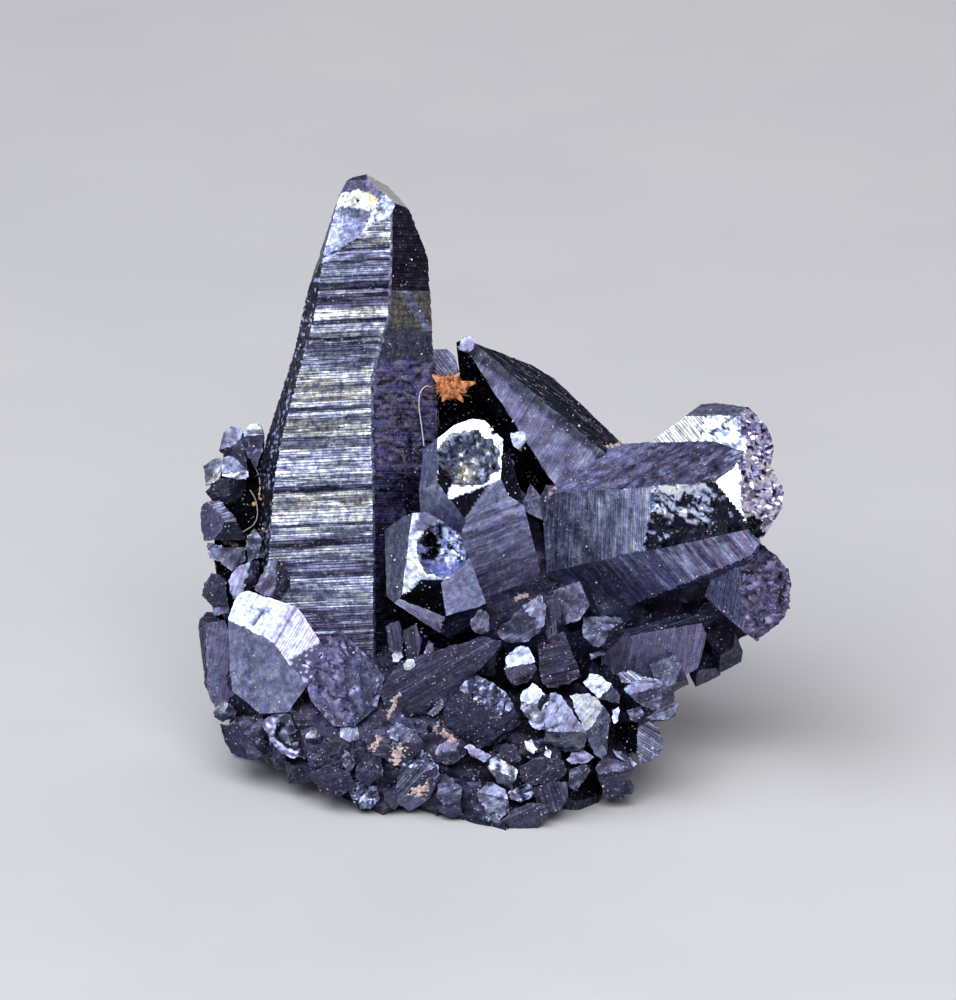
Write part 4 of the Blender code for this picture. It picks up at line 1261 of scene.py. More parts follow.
def crystal_planes(kind, width, length, rng):
    """Outward planes of a small crystal standing along z at the origin."""
    planes = []
    if kind in ("prism", "plate"):
        for k in range(6):
            angle = math.radians(60 * k + rng.uniform(-5, 5))
            normal = Vector((math.cos(angle), math.sin(angle), 0.12))
            planes.append((normal.normalized(), normal.normalized() * width * rng.uniform(0.85, 1.05)))
        steep = 1.1
    else:
        steep = 0.75
    for end in (1, -1):
        for k in range(3):
            angle = math.radians(120 * k + (0 if end == 1 else 60) + 30 + rng.uniform(-8, 8))
            normal = Vector((math.cos(angle), math.sin(angle), end * steep)).normalized()
            reach = length * (0.78 if kind == "prism" else 0.86) * rng.uniform(0.88, 1.08)
            if kind == "rhomb":
                reach = 0.5 * (width + length) * rng.uniform(0.72, 0.92)
            planes.append((normal, normal * reach))
        flat = length * rng.uniform(0.75, 0.95) * (0.45 if kind == "plate" else 1)
        normal = Vector((rng.uniform(-0.1, 0.1), rng.uniform(-0.1, 0.1), end)).normalized()
        planes.append((normal, normal * flat))
    return planes


def small_solid(x, y, depth, width, length, axis, roll, kind, rng):
    along = Vector(axis).normalized()
    side = Vector((1, 0, 0)) if abs(along.x) < 0.8 else Vector((0, 0, 1))
    across = (side - along * side.dot(along)).normalized()
    turn = Matrix((across, along.cross(across), along)).transposed()
    turn = turn @ Matrix.Rotation(math.radians(roll), 3, "Z")
    centre = Vector((x - FOOT[0], depth, FOOT[1] - y))
    upright = crystal_planes(kind, width, length, rng)
    planes = [(turn @ normal, turn @ point + centre) for normal, point in upright]
    return solid_of_planes(planes, centre, 200)


def squared_ring(angle):
    """A point on a ring between a circle and a square, one unit across from its middle."""
    return [math.copysign(abs(v) ** 0.7, v) for v in (math.cos(angle), math.sin(angle))]


def scattered(rng):
    """Small crystals all over the sides and the back of the core."""
    rows = []
    for y in SCATTER_LEVELS:
        low = max(k for k in range(len(CORE) - 1) if CORE[k][0] <= y)
        share = (y - CORE[low][0]) / (CORE[low + 1][0] - CORE[low][0])
        _, left, right, front, back = (a + share * (b - a) for a, b in zip(CORE[low], CORE[low + 1]))
        for k in range(RING_COUNT):
            angle = math.radians(RING_START + RING_STEP * k + rng.uniform(-7, 7))
            squared = squared_ring(angle)
            x = (left + right) / 2 + squared[0] * (right - left) / 2 * 0.97
            deep = (front + back) / 2 + squared[1] * (back - front) / 2
            below_ground = deep > 2.6 * (FOOT[1] - y) + 20
            at_front_corner = squared[1] < 0.15 and (x < 275 or x > 630)
            if below_ground or at_front_corner:
                continue
            width = rng.uniform(15, 30)
            lean = [rng.uniform(-0.5, 0.5), rng.uniform(-0.5, 0.5), rng.uniform(-0.5, 0.8)]
            axis = (squared[0] + lean[0], squared[1] + lean[1], lean[2])
            inset = 8 if squared[1] > 0 else 16
            x -= inset * squared[0]
            kind = rng.choice(("prism", "rhomb", "rhomb", "plate"))
            place = (x, y + rng.uniform(-12, 12), deep - inset * squared[1])
            rows.append((*place, width, width * rng.uniform(1.0, 1.6), axis, rng.uniform(0, 60), kind))
    return rows


def gather(total, bm):
    """Adds one crystal to the others of its piece."""
    step = bpy.data.meshes.new("step")
    bm.to_mesh(step)
    bm.free()
    total.from_mesh(step)
    bpy.data.meshes.remove(step)


small_metal = hematite("small_crystal_hematite", dust=0.6, groove=0.6)
rng = random.Random(SMALL_SEED)
front_group, back_group = bmesh.new(), bmesh.new()
back_rows = scattered(rng)
for number, row in enumerate(SMALL + tuple(back_rows)):
    solid = small_solid(*row, rng)
    own = random.Random(400 + number)
    # Those near the front are kept dark: painted shade in the gaps between the crystals drawn before them.
    brightest = 0.8 if row[2] > 190 else 0.25
    skins = {"rest": Skin(tone=0.15)}
    for face in range(MOST_FACES):
        skins[face] = Skin(
            pitch=(3, 7), cell=8, tilt=own.uniform(-0.04, 0.04), dark=0.6, jag=0.5, lump=1.0,
            tone=own.uniform(0.1, brightest), rough=own.uniform(0.3, 0.45),
            hue=own.uniform(0.0, 0.35), bloom=own.uniform(0.05, 0.35) * brightest, streak=0.3,
            sheen=0.25,
        )
    grow(solid, skins, Vector(row[5]), own)
    gather(front_group if number < len(SMALL) else back_group, solid)
settle(front_group, "small_crystals_front", small_metal)
settle(back_group, "small_crystals_back", small_metal)


# The field of small crystals at the front of the foot, each shaped and turned by its neighbours.
# They are stubby rhombohedra and broken prisms of hematite, a millimetre or two across, some bright and most
# under dust, grown into the core.
def crumple(x, y):
    return chips(x, y, 5, 0.8, 35, 1.6)


# The coats are one hematite at graded tones: partly each crystal's own lustre and dust, partly painted light
# and shade; the white coats paint lit facets, the dark and black ones facets in shade.
GLASSY = Skin(pitch=(3, 5), cell=4, tilt=0.01, dark=0.8, jag=0.5, lump=1.2, lump_size=8, rough=0.33,
              streak=0.35, sheen=0.35)
SMOOTH = replace(GLASSY, jag=0.4, lump=1.0)
WORN = replace(GLASSY, tilt=0.02, dark=0.7, jag=0.7, lump=1.4)
COATS = {
    "white": replace(SMOOTH, tone=0.74, spread=0.12, rough=0.28, hue=0.4, streak=0.2, sheen=0.2),
    "pale": replace(SMOOTH, tone=0.44, spread=0.2, rough=0.3, hue=0.5, streak=0.25, sheen=0.3),
    "light": replace(GLASSY, tone=0.5, spread=0.2, hue=0.22, bloom=0.06),
    "blue": replace(GLASSY, tone=0.46, spread=0.25, rough=0.34, hue=0.3, streak=0.4),
    "violet": replace(WORN, tone=0.42, rough=0.37, hue=0.1, bloom=0.14),
    "grey": replace(WORN, tone=0.29, rough=0.4, hue=0.25, bloom=0.08),
    "dusty": replace(WORN, pitch=(2, 4), cell=3, tilt=0.03, dark=0.6, jag=1.1, lump=1.8, tone=0.18,
                     rough=0.45, hue=0.15, bloom=0.13, streak=0.3, sheen=0.3),
    "dark": Skin(pitch=(3, 5), cell=5, tilt=0.02, jag=0.7, lump=1.0, tone=0.1, rough=0.4, hue=0.2,
                 bloom=0.08, streak=0.3),
    "black": Skin(pitch=(6, 9), tone=0.01, rough=0.4),
    "broken": Skin(pitch=(2, 3), cell=2.4, tilt=0, jag=0.5, tone=0.6, spread=0.5, rough=0.32, hue=0.2,
                   streak=0, form=crumple),
    "striped": Skin(pitch=(1.8, 3.6), cell=6, tilt=0.12, jitter=0.5, dark=0.3, jag=0.2, tone=0.6,
                    spread=0.4, rough=0.34, hue=0.25, streak=0.6),
    "ruled": Skin(pitch=(2, 5), cell=7, tilt=0.1, jitter=0.7, dark=0.5, jag=0.6, lump=1.0, tone=0.27,
                  spread=0.35, rough=0.42, hue=0.15, bloom=0.17, streak=0.65, sheen=0.2),
}
NUBS = (
    # depth, thickness, then the faces: slope right, slope up, coat, run of the lines, corners
    # a black backing crystal: painted shade for the gap behind the stub and the fang
    (165, 70, (0.0, -0.1, "black", 30, (438, 384), (464, 384), (480, 400), (505, 440), (520, 520),
      (438, 520))),
    (70, 80, (0.1, 0.3, "white", 60, (510, 433), (523, 431), (527, 440), (520, 452), (513, 446))),
    (118, 24, (-0.1, 0.3, "light", 30, (459, 350), (461, 340), (467, 336), (473, 338), (475, 346),
      (468, 353))),
    # black backing crystals: painted shade for the hollow of the left-hand column
    (150, 60, (0.0, -0.1, "black", 30, (226, 446), (246, 436), (264, 440), (262, 490), (218, 490))),
    (124, 80, (0.0, -0.1, "black", 30, (218, 484), (262, 484), (266, 560), (262, 600), (222, 606),
      (214, 560))),
    # dark filler crystals: painted shade for the gap between the block and the low right crystal
    (150, 60, (0.0, -0.1, "dark", 20, (690, 622), (706, 602), (722, 604), (738, 618), (752, 632), (738, 640),
      (706, 644))),
    (190, 70, (0.0, -0.1, "dark", 20, (640, 590), (700, 584), (736, 596), (744, 628), (700, 650),
      (640, 640))),
    # the left-hand column, from its top
    (134, 60, (-0.25, 0.35, "light", 70, (220, 446), (224, 432), (232, 427), (242, 429), (238, 442),
      (226, 450)),
     (-0.1, -0.15, "light", 80, (226, 450), (238, 442), (247, 446), (246, 470), (228, 458)),
     (0.7, 0.1, "blue", 80, (242, 429), (247, 446), (238, 442))),
    (138, 60, (0.0, 0.5, "white", 0, (243, 434), (250, 424), (260, 424), (264, 433), (252, 438)),
     (0.1, -0.1, "light", 0, (243, 434), (252, 438), (264, 433), (262, 450), (256, 466), (245, 452))),
    (116, 60, (-0.3, 0.2, "pale", 30, (204, 466), (214, 459), (221, 457), (221, 470), (213, 484),
      (206, 486))),
    (112, 60, (-0.1, 0.45, "light", 60, (221, 457), (233, 457), (242, 465), (250, 476), (222, 468)),
     (0.0, 0.15, "white", 0, (222, 468), (250, 476), (246, 480), (221, 476))),
    (120, 50, (-0.3, -0.2, "dusty", 30, (206, 492), (214, 481), (230, 477), (228, 504), (212, 500)),
     (0.5, -0.3, "dark", 30, (230, 477), (246, 479), (244, 492), (236, 503), (228, 504))),
    (112, 60, (-0.5, -0.05, "violet", 85, (201, 508), (209, 500), (214, 512), (216, 540), (205, 542),
      (201, 524)),
     (0.1, 0.5, "striped", 15, (209, 500), (222, 502), (231, 508), (237, 520), (215, 523), (214, 512)),
     (0.1, -0.5, "dark", 0, (215, 523), (237, 520), (245, 530), (246, 540), (216, 540))),
    (112, 60, (-0.15, 0.1, "light", 80, (207, 543), (223, 545), (223, 563), (209, 557))),
    (108, 60, (0.05, 0.05, "grey", 80, (222, 547), (245, 547), (246, 560), (232, 571), (222, 564))),
    (110, 60, (0.0, 0.6, "white", 0, (247, 537), (255, 529), (262, 537)),
     (0.1, -0.05, "blue", 85, (247, 537), (262, 537), (262, 556), (248, 562))),
    (104, 60, (-0.15, 0.2, "light", 70, (229, 581), (236, 568), (250, 562), (248, 580), (234, 598),
      (230, 590)),
     (0.5, 0.0, "dusty", 70, (250, 562), (260, 560), (258, 584), (246, 592), (248, 580))),
    (104, 60, (-0.4, -0.1, "dusty", 60, (204, 585), (213, 572), (226, 578), (228, 604), (212, 606),
      (203, 596))),
    (108, 60, (-0.2, 0.2, "grey", 60, (212, 600), (226, 596), (230, 612), (214, 616))),
    (86, 50, (-0.5, 0.35, "white", 60, (260, 580), (268, 563), (277, 555), (280, 561), (270, 574)),
     (-0.15, -0.1, "violet", 60, (254, 588), (260, 580), (270, 574), (280, 561), (283, 586), (266, 596)),
     (0.7, 0.0, "dusty", 60, (280, 561), (290, 574), (290, 588), (280, 597), (266, 596), (283, 586))),
    # below the slab, and along the left of the foot
    (104, 50, (-0.35, 0.35, "pale", 20, (214, 709), (220, 702), (230, 703), (226, 712), (215, 715)),
     (0.4, 0.1, "light", 20, (230, 703), (237, 711), (235, 718), (226, 712)),
     (0.0, -0.5, "grey", 20, (215, 715), (226, 712), (235, 718), (222, 721))),
    (102, 50, (-0.5, -0.05, "dusty", -60, (221, 725), (240, 722), (247, 734), (250, 752), (246, 758),
      (234, 754), (226, 742)),
     (0.3, -0.25, "violet", -30, (247, 734), (258, 741), (268, 741), (271, 748), (262, 755), (250, 752))),
    (98, 40, (-0.5, 0.1, "dark", 70, (226, 676), (232, 662), (240, 664), (244, 682), (230, 690)),
     (0.3, 0.2, "light", 70, (240, 664), (248, 674), (244, 682))),
    (80, 40, (0.1, 0.1, "dusty", 20, (238, 716), (262, 714), (268, 732), (258, 744), (244, 732))),
    (88, 40, (-0.1, 0.3, "light", 50, (290, 768), (296, 762), (305, 764), (303, 773), (294, 776)),
     (0.2, -0.1, "light", 20, (294, 776), (303, 773), (305, 764), (311, 771), (312, 777), (300, 782))),
    (42, 50, (-0.1, -0.1, "dusty", 30, (308, 752), (322, 742), (336, 740), (342, 760), (330, 778),
      (312, 772)),
     (0.3, 0.0, "grey", 40, (336, 740), (350, 744), (350, 760), (342, 760))),
    (50, 50,
     (-0.1, 0.2, "blue", 60, (341, 728), (347, 721), (357, 724), (362, 738), (350, 741), (342, 736))),
    (34, 50, (0.1, 0.1, "grey", 40, (345, 748), (354, 752), (356, 762), (350, 772), (342, 762))),
    (30, 50, (-0.1, -0.05, "dusty", 50, (356, 764), (368, 752), (382, 756), (384, 774), (370, 784),
      (358, 778))),
    (44, 50, (-0.2, 0.0, "broken", 40, (349, 782), (360, 776), (376, 783), (381, 797), (372, 806), (361, 808),
      (352, 798))),
    (28, 40, (-0.2, 0.1, "dusty", 0, (362, 730), (380, 724), (392, 738), (386, 756), (370, 752))),
    (34, 50, (-0.1, -0.2, "dusty", 10, (310, 772), (330, 764), (350, 770), (356, 784), (340, 796),
      (322, 790))),
    (26, 60, (-0.3, 0.3, "grey", 35, (384, 736), (396, 720), (416, 728), (424, 744), (404, 752)),
     (0.0, -0.4, "dusty", 20, (384, 736), (404, 752), (402, 764), (388, 760), (380, 748))),
    (22, 40, (0.0, 0.2, "light", 70, (388, 729), (394, 726), (400, 734), (398, 740), (391, 737))),
    (28, 60, (-0.2, 0.4, "broken", 30, (404, 756), (412, 746), (421, 744), (432, 756), (438, 766), (424, 768),
      (410, 766)),
     (-0.3, -0.15, "striped", 48, (398, 778), (404, 756), (410, 766), (424, 768), (416, 794), (402, 790)),
     (0.4, -0.35, "grey", 40, (424, 768), (438, 766), (438, 778), (430, 796), (416, 794)),
     (-0.1, -1.0, "light", 30, (402, 790), (416, 794), (430, 796), (420, 804), (410, 809), (399, 802))),
    (26, 40, (0.1, 0.2, "blue", 60, (428, 768), (432, 760), (439, 763), (440, 771), (434, 778))),
    (38, 40, (-0.2, -0.2, "grey", 20, (384, 790), (396, 784), (402, 798), (396, 808), (386, 802))),
    (24, 50, (-0.3, 0.3, "violet", 30, (435, 752), (440, 742), (450, 738), (461, 741), (452, 752)),
     (-0.1, -0.3, "dusty", 30, (435, 752), (452, 752), (462, 748), (460, 757), (448, 763), (437, 759)),
     (0.5, 0.0, "violet", 30, (461, 741), (466, 746), (462, 748), (452, 752))),
    (26, 50,
     (-0.2, 0.1, "grey", 20, (438, 782), (452, 776), (462, 786), (462, 800), (444, 802), (436, 794))),
    (24, 50, (0.0, -0.3, "ruled", 25, (438, 804), (448, 800), (461, 801), (463, 812), (452, 816),
      (440, 810))),
    # the middle of the foot
    (52, 90, (-0.1, -0.15, "ruled", 30, (380, 692), (398, 662), (440, 648), (482, 636), (500, 640),
      (470, 668), (456, 687), (430, 706), (414, 716), (393, 719)),
     (0.1, -0.8, "dusty", 20, (393, 719), (414, 716), (430, 706), (437, 716), (426, 728), (412, 735),
      (400, 729))),
    (38, 24,
     (0.3, 0.3, "light", 42, (428, 712), (446, 698), (463, 680), (458, 693), (446, 704), (434, 716))),
    (60, 50, (-0.3, -0.05, "ruled", -80, (386, 624), (400, 620), (404, 640), (403, 650), (390, 652))),
    (56, 50, (-0.1, -0.05, "ruled", -85, (404, 630), (416, 624), (422, 640), (419, 658), (406, 660))),
    (44, 24,
     (-0.1, 0.2, "pale", 0, (392, 655), (396, 649), (402, 650), (404, 656), (399, 661), (393, 660))),
    (42, 24, (0.0, 0.2, "pale", 0, (404, 664), (409, 658), (415, 658), (417, 664), (411, 669), (405, 668))),
    (60, 50, (0.0, 0.0, "violet", 80, (424, 650), (428, 640), (434, 642), (433, 660), (426, 662))),
    (30, 70, (-0.15, 0.4, "broken", -40, (463, 681), (477, 674), (492, 680), (508, 694), (515, 708),
      (498, 712), (478, 703)),
     (-0.3, -0.35, "dusty", 20, (444, 707), (463, 681), (478, 703), (498, 712), (488, 745), (476, 746),
      (460, 736), (444, 722)),
     (0.5, -0.35, "dusty", 40, (498, 712), (515, 708), (520, 722), (504, 738), (488, 745))),
    (50, 40, (-0.1, -0.3, "dark", 40, (470, 664), (484, 650), (497, 652), (494, 676), (478, 674))),
    (62, 50,
     (-0.1, 0.1, "grey", 70, (471, 618), (480, 609), (489, 614), (490, 628), (480, 634), (472, 628))),
    (50, 60, (-0.25, 0.0, "grey", 30, (498, 629), (522, 606), (530, 612), (537, 624), (528, 640), (508, 642),
      (499, 637)),
     (0.15, 0.3, "light", 60, (522, 606), (532, 598), (541, 594), (546, 605), (544, 618), (537, 624),
      (530, 612))),
    (58, 60, (-0.1, 0.0, "ruled", -85, (545, 601), (554, 598), (555, 640), (546, 642)),
     (0.7, 0.1, "light", -85, (554, 598), (560, 602), (561, 632), (555, 640))),
    (48, 60, (-0.1, 0.9, "light", 15, (538, 643), (563, 631), (566, 637), (538, 650)),
     (0.05, -0.1, "ruled", 12, (538, 650), (566, 637), (572, 650), (582, 674), (570, 682), (548, 687),
      (538, 674))),
    (30, 40, (-0.05, 0.3, "white", 20, (509, 653), (517, 645), (530, 646), (533, 656), (528, 663), (517, 668),
      (510, 664)),
     (0.0, -0.4, "violet", 30, (510, 664), (517, 668), (528, 663), (533, 656), (537, 668), (528, 681),
      (514, 684), (506, 674))),
    # a black crystal: painted shade in the gap between its neighbours
    (44, 30, (0.0, -0.2, "black", 30, (494, 660), (503, 645), (509, 653), (506, 676), (500, 684),
      (495, 674))),
    (20, 60, (-0.1, 0.3, "white", 30, (521, 692), (532, 682), (541, 690), (540, 700), (528, 703)),
     (-0.15, 0.05, "white", 30, (528, 703), (540, 700), (548, 712), (548, 728), (534, 727), (527, 716))),
    (16, 60, (0.05, 0.25, "light", 60, (550, 692), (558, 690), (569, 706), (583, 723), (578, 730), (560, 731),
      (548, 728), (545, 712)),
     (0.05, -0.9, "blue", 0, (548, 728), (560, 731), (578, 730), (585, 740), (582, 748), (564, 750),
      (545, 741))),
    (12, 30, (0.3, -0.2, "dark", 60, (537, 701), (541, 694), (548, 693), (553, 700), (551, 709), (543, 712),
      (538, 708))),
    (20, 60,
     (-0.1, 0.25, "pale", 50, (568, 696), (574, 692), (590, 692), (604, 706), (589, 725), (581, 716)),
     (0.7, -0.1, "blue", 70, (604, 706), (609, 716), (607, 736), (598, 744), (589, 725)),
     (0.3, -0.5, "light", 30, (589, 725), (598, 744), (600, 757), (593, 751), (586, 736))),
    (30, 50, (-0.05, 0.3, "white", 20, (583, 681), (588, 673), (600, 674), (612, 684), (601, 692)),
     (0.6, -0.2, "blue", 40, (601, 692), (612, 684), (619, 691), (617, 702), (607, 700))),
    (34, 40, (0.0, 0.3, "white", 0, (611, 708), (618, 706), (617, 718), (613, 724))),
    (42, 60, (-0.05, 0.45, "light", 10, (623, 688), (630, 681), (641, 676), (656, 678), (664, 683),
      (645, 686), (627, 694)),
     (0.1, -0.15, "violet", 20, (627, 694), (645, 686), (664, 683), (660, 700), (650, 709), (636, 701)),
     (0.6, 0.0, "light", 60, (664, 683), (673, 690), (673, 701), (662, 707), (650, 709), (660, 700))),
    (48, 40, (0.0, 0.5, "striped", -40, (617, 673), (628, 669), (644, 676), (630, 681), (621, 681))),
    (46, 40, (0.0, 0.1, "grey", 30, (626, 709), (640, 705), (643, 713), (636, 722), (628, 718))),
    (58, 50, (0.1, 0.1, "light", 20, (643, 714), (656, 711), (668, 706), (677, 701), (675, 714), (666, 719),
      (650, 719))),
    (54, 50, (0.2, 0.2, "striped", -32, (638, 724), (648, 720), (656, 726), (662, 738), (661, 748),
      (652, 758), (640, 762), (635, 752))),
    # a black crystal: painted shade in the gap between its neighbours
    (60, 30, (-0.1, 0.0, "black", 60, (618, 724), (638, 718), (638, 752), (628, 752), (620, 740))),
    (44, 50, (-0.05, 0.15, "violet", 25, (595, 766), (603, 757), (616, 757), (630, 763), (618, 773),
      (604, 777)),
     (0.05, -1.0, "grey", 15, (595, 766), (604, 777), (618, 773), (630, 763), (634, 768), (624, 780),
      (606, 785), (598, 778))),
    (46, 30, (0.2, 0.4, "light", -40, (612, 748), (620, 750), (636, 762), (632, 766), (618, 756))),
    (52, 40, (0.1, -0.1, "dusty", 20, (600, 784), (616, 784), (630, 780), (634, 790), (618, 798),
      (604, 796))),
    (30, 40, (-0.1, 0.2, "light", 20, (566, 758), (572, 749), (583, 748), (593, 755), (585, 761),
      (570, 762))),
    (50, 40, (0.0, 0.5, "grey", 0, (583, 617), (600, 615), (620, 617), (623, 627), (603, 626), (586, 624)),
     (-0.1, 0.05, "light", 60, (586, 624), (603, 626), (613, 634), (591, 645), (584, 636)),
     (0.6, -0.2, "dark", 30, (603, 626), (623, 627), (622, 634), (613, 634))),
    (78, 30, (-0.1, 0.2, "light", 10, (590, 653), (608, 648), (602, 657), (591, 659))),
    # the bottom of the foot
    (14, 50, (0.0, 0.2, "light", 40, (484, 790), (494, 780), (506, 788), (508, 800), (484, 800)),
     (-0.35, -0.1, "dusty", 60, (470, 798), (484, 790), (484, 800), (480, 816), (474, 812)),
     (0.0, 0.1, "light", 50, (484, 800), (508, 800), (509, 810), (496, 820), (480, 816))),
    (10, 24, (0.05, 0.35, "white", 32, (489, 758), (496, 754), (519, 768), (515, 779), (507, 778)),
     (-0.1, -0.8, "blue", 32, (489, 758), (507, 778), (515, 779), (512, 790), (500, 786), (488, 766))),
    (20, 30, (0.0, 0.3, "light", 32, (464, 745), (470, 741), (490, 754), (486, 760), (474, 756))),
    (22, 40, (-0.1, -0.1, "grey", 40, (497, 752), (505, 742), (516, 745), (521, 757), (512, 765),
      (500, 760))),
    (20, 30, (0.0, 0.3, "white", -50, (524, 739), (530, 737), (537, 747), (533, 753), (526, 747))),
    (22, 30, (0.0, 0.3, "white", -60, (545, 744), (551, 750), (550, 757), (543, 753))),
    (26, 40,
     (0.0, 0.0, "dark", 20, (520, 740), (545, 736), (560, 744), (560, 756), (536, 760), (520, 752))),
    (18, 50, (-0.2, -0.1, "dusty", 30, (519, 764), (540, 754), (540, 782), (528, 784), (519, 776)),
     (0.2, -0.15, "dusty", 30, (540, 754), (562, 758), (566, 770), (556, 780), (540, 782))),
    (16, 50, (0.0, -0.1, "ruled", -72, (532, 786), (553, 778), (566, 780), (567, 796), (560, 807), (548, 811),
      (536, 800))),
    (26, 50,
     (0.1, 0.0, "grey", 40, (568, 768), (585, 762), (591, 770), (583, 779), (574, 791), (569, 782))),
    (10, 40, (0.0, -0.3, "ruled", 24, (498, 820), (512, 808), (530, 800), (541, 801), (548, 808), (546, 815),
      (530, 821), (512, 832), (500, 828))),
    (16, 40, (0.0, 0.1, "broken", 20, (508, 790), (516, 784), (530, 780), (534, 794), (520, 800),
      (510, 798))),
)


def dish(x, y):
    """How far a point lies from the middle of a dish-shaped break: 1 at its rim."""
    return math.hypot((x - 303) / 33, (y - 731) / 22) + 0.13 * wave(x, y, 9, 9, 1)


def dish_form(x, y):
    away = dish(x, y)
    return -7 * max(0.0, 1 - away) + 0.5 * math.sin(away * 16) + 0.6 * wave(x, y, 5, 5, 2)


def dish_look(x, y, look):
    away = dish(x, y)
    stain = wave(x, y, 8, 6, 4) + 0.5 * wave(x, y, 3, 3, 7)
    low = y - 731 > 0.6 * (x - 300)
    # Painted light and shade: a bright crescent on the lower rim, a darker upper rim, and near black just
    # inside the lower rim.
    if away > 0.86:
        return look._replace(tone=(1.0 if low else 0.4) * (1 + 0.5 * stain))
    if away > 0.62 and low:
        return Look(0.04, 0.4, 0.2, 0.05, 0)
    return look._replace(tone=0.3 * max(0.1, 1 + 1.6 * stain), hue=0.35, bloom=0.25)


def field_crystal(group, seed, depth, thickness, faces, coats):
    """Grows a drawn crystal, kept within its outline by eight more planes, and adds it to a group."""
    planes = drawn_planes(depth, thickness, (0.0, 1.0, -0.15), faces)
    spots = [Vector((x - FOOT[0], 0, FOOT[1] - y)) for face in faces for x, y in face[2:]]
    for turn in range(8):
        out = Vector((math.cos(math.radians(45 * turn)), 0, math.sin(math.radians(45 * turn))))
        planes.append((out, out * (max(out.dot(spot) for spot in spots) + 0.5)))
    coats["rest"] = COATS["dusty"]
    solid = solid_of_planes(planes, planes[0][1])
    gather(group, grow(solid, coats, Vector((0, 1, 0)), random.Random(seed)))


field_metal = hematite("field_hematite", dust=0.8, groove=0.8, wear=0.55)
column, field_left, field_right = bmesh.new(), bmesh.new(), bmesh.new()
for number, (depth, thickness, *faces) in enumerate(NUBS):
    x, y = faces[0][4]
    group = column if x < 290 and y < 640 else field_left if x < 470 else field_right
    coats = {k: replace(COATS[coat], turn=turn) for k, (a, b, coat, turn, *corners) in enumerate(faces)}
    flat = [(a, b, *corners) for a, b, coat, turn, *corners in faces]
    field_crystal(group, 900 + number, depth, thickness, flat, coats)
shell = [
    (-0.1, 0.05, (262, 722), (272, 714), (312, 713), (330, 718), (334, 733), (324, 745), (308, 753),
     (294, 757), (282, 752), (272, 740)),
]
dish_skin = Skin(turn=0, pitch=(1.6, 2.2), cell=2, tilt=0, jag=0.3, tone=0.5, rough=0.34, hue=0.15,
                 streak=0, rim=0, form=dish_form, paint=dish_look)
field_crystal(field_left, 899, 64, 50, shell, {0: dish_skin})
nugget = [
    (-0.3, 0.3, (306, 735), (312, 729), (319, 730), (316, 738)),
    (0.4, 0.0, (319, 730), (325, 736), (321, 741), (316, 738)),
    (-0.1, -0.5, (306, 735), (316, 738), (321, 741), (313, 744), (307, 740)),
]
field_crystal(field_left, 898, 52, 24, nugget, {0: COATS["pale"], 1: COATS["light"], 2: COATS["grey"]})
settle(column, "left_column", field_metal)
settle(field_left, "crystal_field_left", field_metal)
settle(field_right, "crystal_field_right", field_metal)


# The core: the massive foot that the crystals grow from, dark and dusty where it shows between them; the dark
# is partly its own and partly painted shade.
# It is a lumpy drum of hematite, wider at the middle than at the ground, and every crystal of the foot is
# half sunk in it.
CORE_SIDES = 10


def core_solid(rng):
    bm = bmesh.new()
    rings = []
    for y, left, right, front, back in CORE:
        ring = []
        for k in range(CORE_SIDES):
            squared = squared_ring(math.radians(36 * k + 18))
            x = (left + right) / 2 + squared[0] * (right - left) / 2 + rng.uniform(-5, 5)
            deep = (front + back) / 2 - squared[1] * (back - front) / 2 + rng.uniform(-4, 4)
            ring.append(bm.verts.new((x - FOOT[0], deep, FOOT[1] - y + rng.uniform(-3, 3))))
        rings.append(ring)
    bm.faces.new(rings[0])
    bm.faces.new(reversed(rings[-1]))
    for high, low in zip(rings, rings[1:]):
        for k in range(CORE_SIDES):
            n = (k + 1) % CORE_SIDES
            bm.faces.new((high[k], low[k], low[n], high[n]))
    bmesh.ops.triangulate(bm, faces=bm.faces)
    bmesh.ops.recalc_face_normals(bm, faces=bm.faces)
    return bm


core = core_solid(rng)
bmesh.ops.subdivide_edges(core, edges=core.edges, cuts=7, use_grid_fill=True)
bmesh.ops.triangulate(core, faces=core.faces)
core.faces.layers.int.new("face")
core.normal_update()
for vert in core.verts:
    lift = 5 * noise.noise(vert.co / 22) + 2.5 * noise.noise(vert.co / 6)
    vert.co += vert.normal * lift
growth = core.loops.layers.uv.new("growth")
lustre_layer = core.loops.layers.float_color.new("lustre")
streak_layer = core.loops.layers.float.new("streak")
for face in core.faces:
    middle = face.calc_center_median()
    # dark tone: partly the hematite's own, partly painted shade between the crystals
    look = (0.08 + 0.1 * noise.noise(middle / 9), 0.45, 0.1, 0.12)
    for loop in face.loops:
        loop[lustre_layer] = look
        loop[streak_layer] = 0
        loop[growth].uv = (loop.vert.co.x * UNIT_MM, loop.vert.co.z * UNIT_MM)
settle(core, "core", small_metal)


# The tuft: a ball of cotton lint stained with rust, with fibres that stand off it.
# It is only caught, between the spire, the fang and the chip behind them.
def lint(name, colour, dark):
    material, shader, start = shader_of(name)
    place = start.node("ShaderNodeTexCoord", {}, {}, "Object").stretched(1000, 1000, 1000)
    felt = place.noise(5, 5, 0.75)
    stops = [(0.42, dark), (0.52, colour), (0.66, [min(1.0, 1.3 * share + 0.05) for share in colour])]
    shade = felt.node("ShaderNodeValToRGB", {"stops": stops}, {0: felt})
    bump = felt.node("ShaderNodeBump", {}, {"Height": felt, "Strength": 0.6, "Distance": 0.00003})
    plug(shader, Base_Color=shade, Normal=bump)
    shader.inputs["Roughness"].default_value = 0.85
    return material


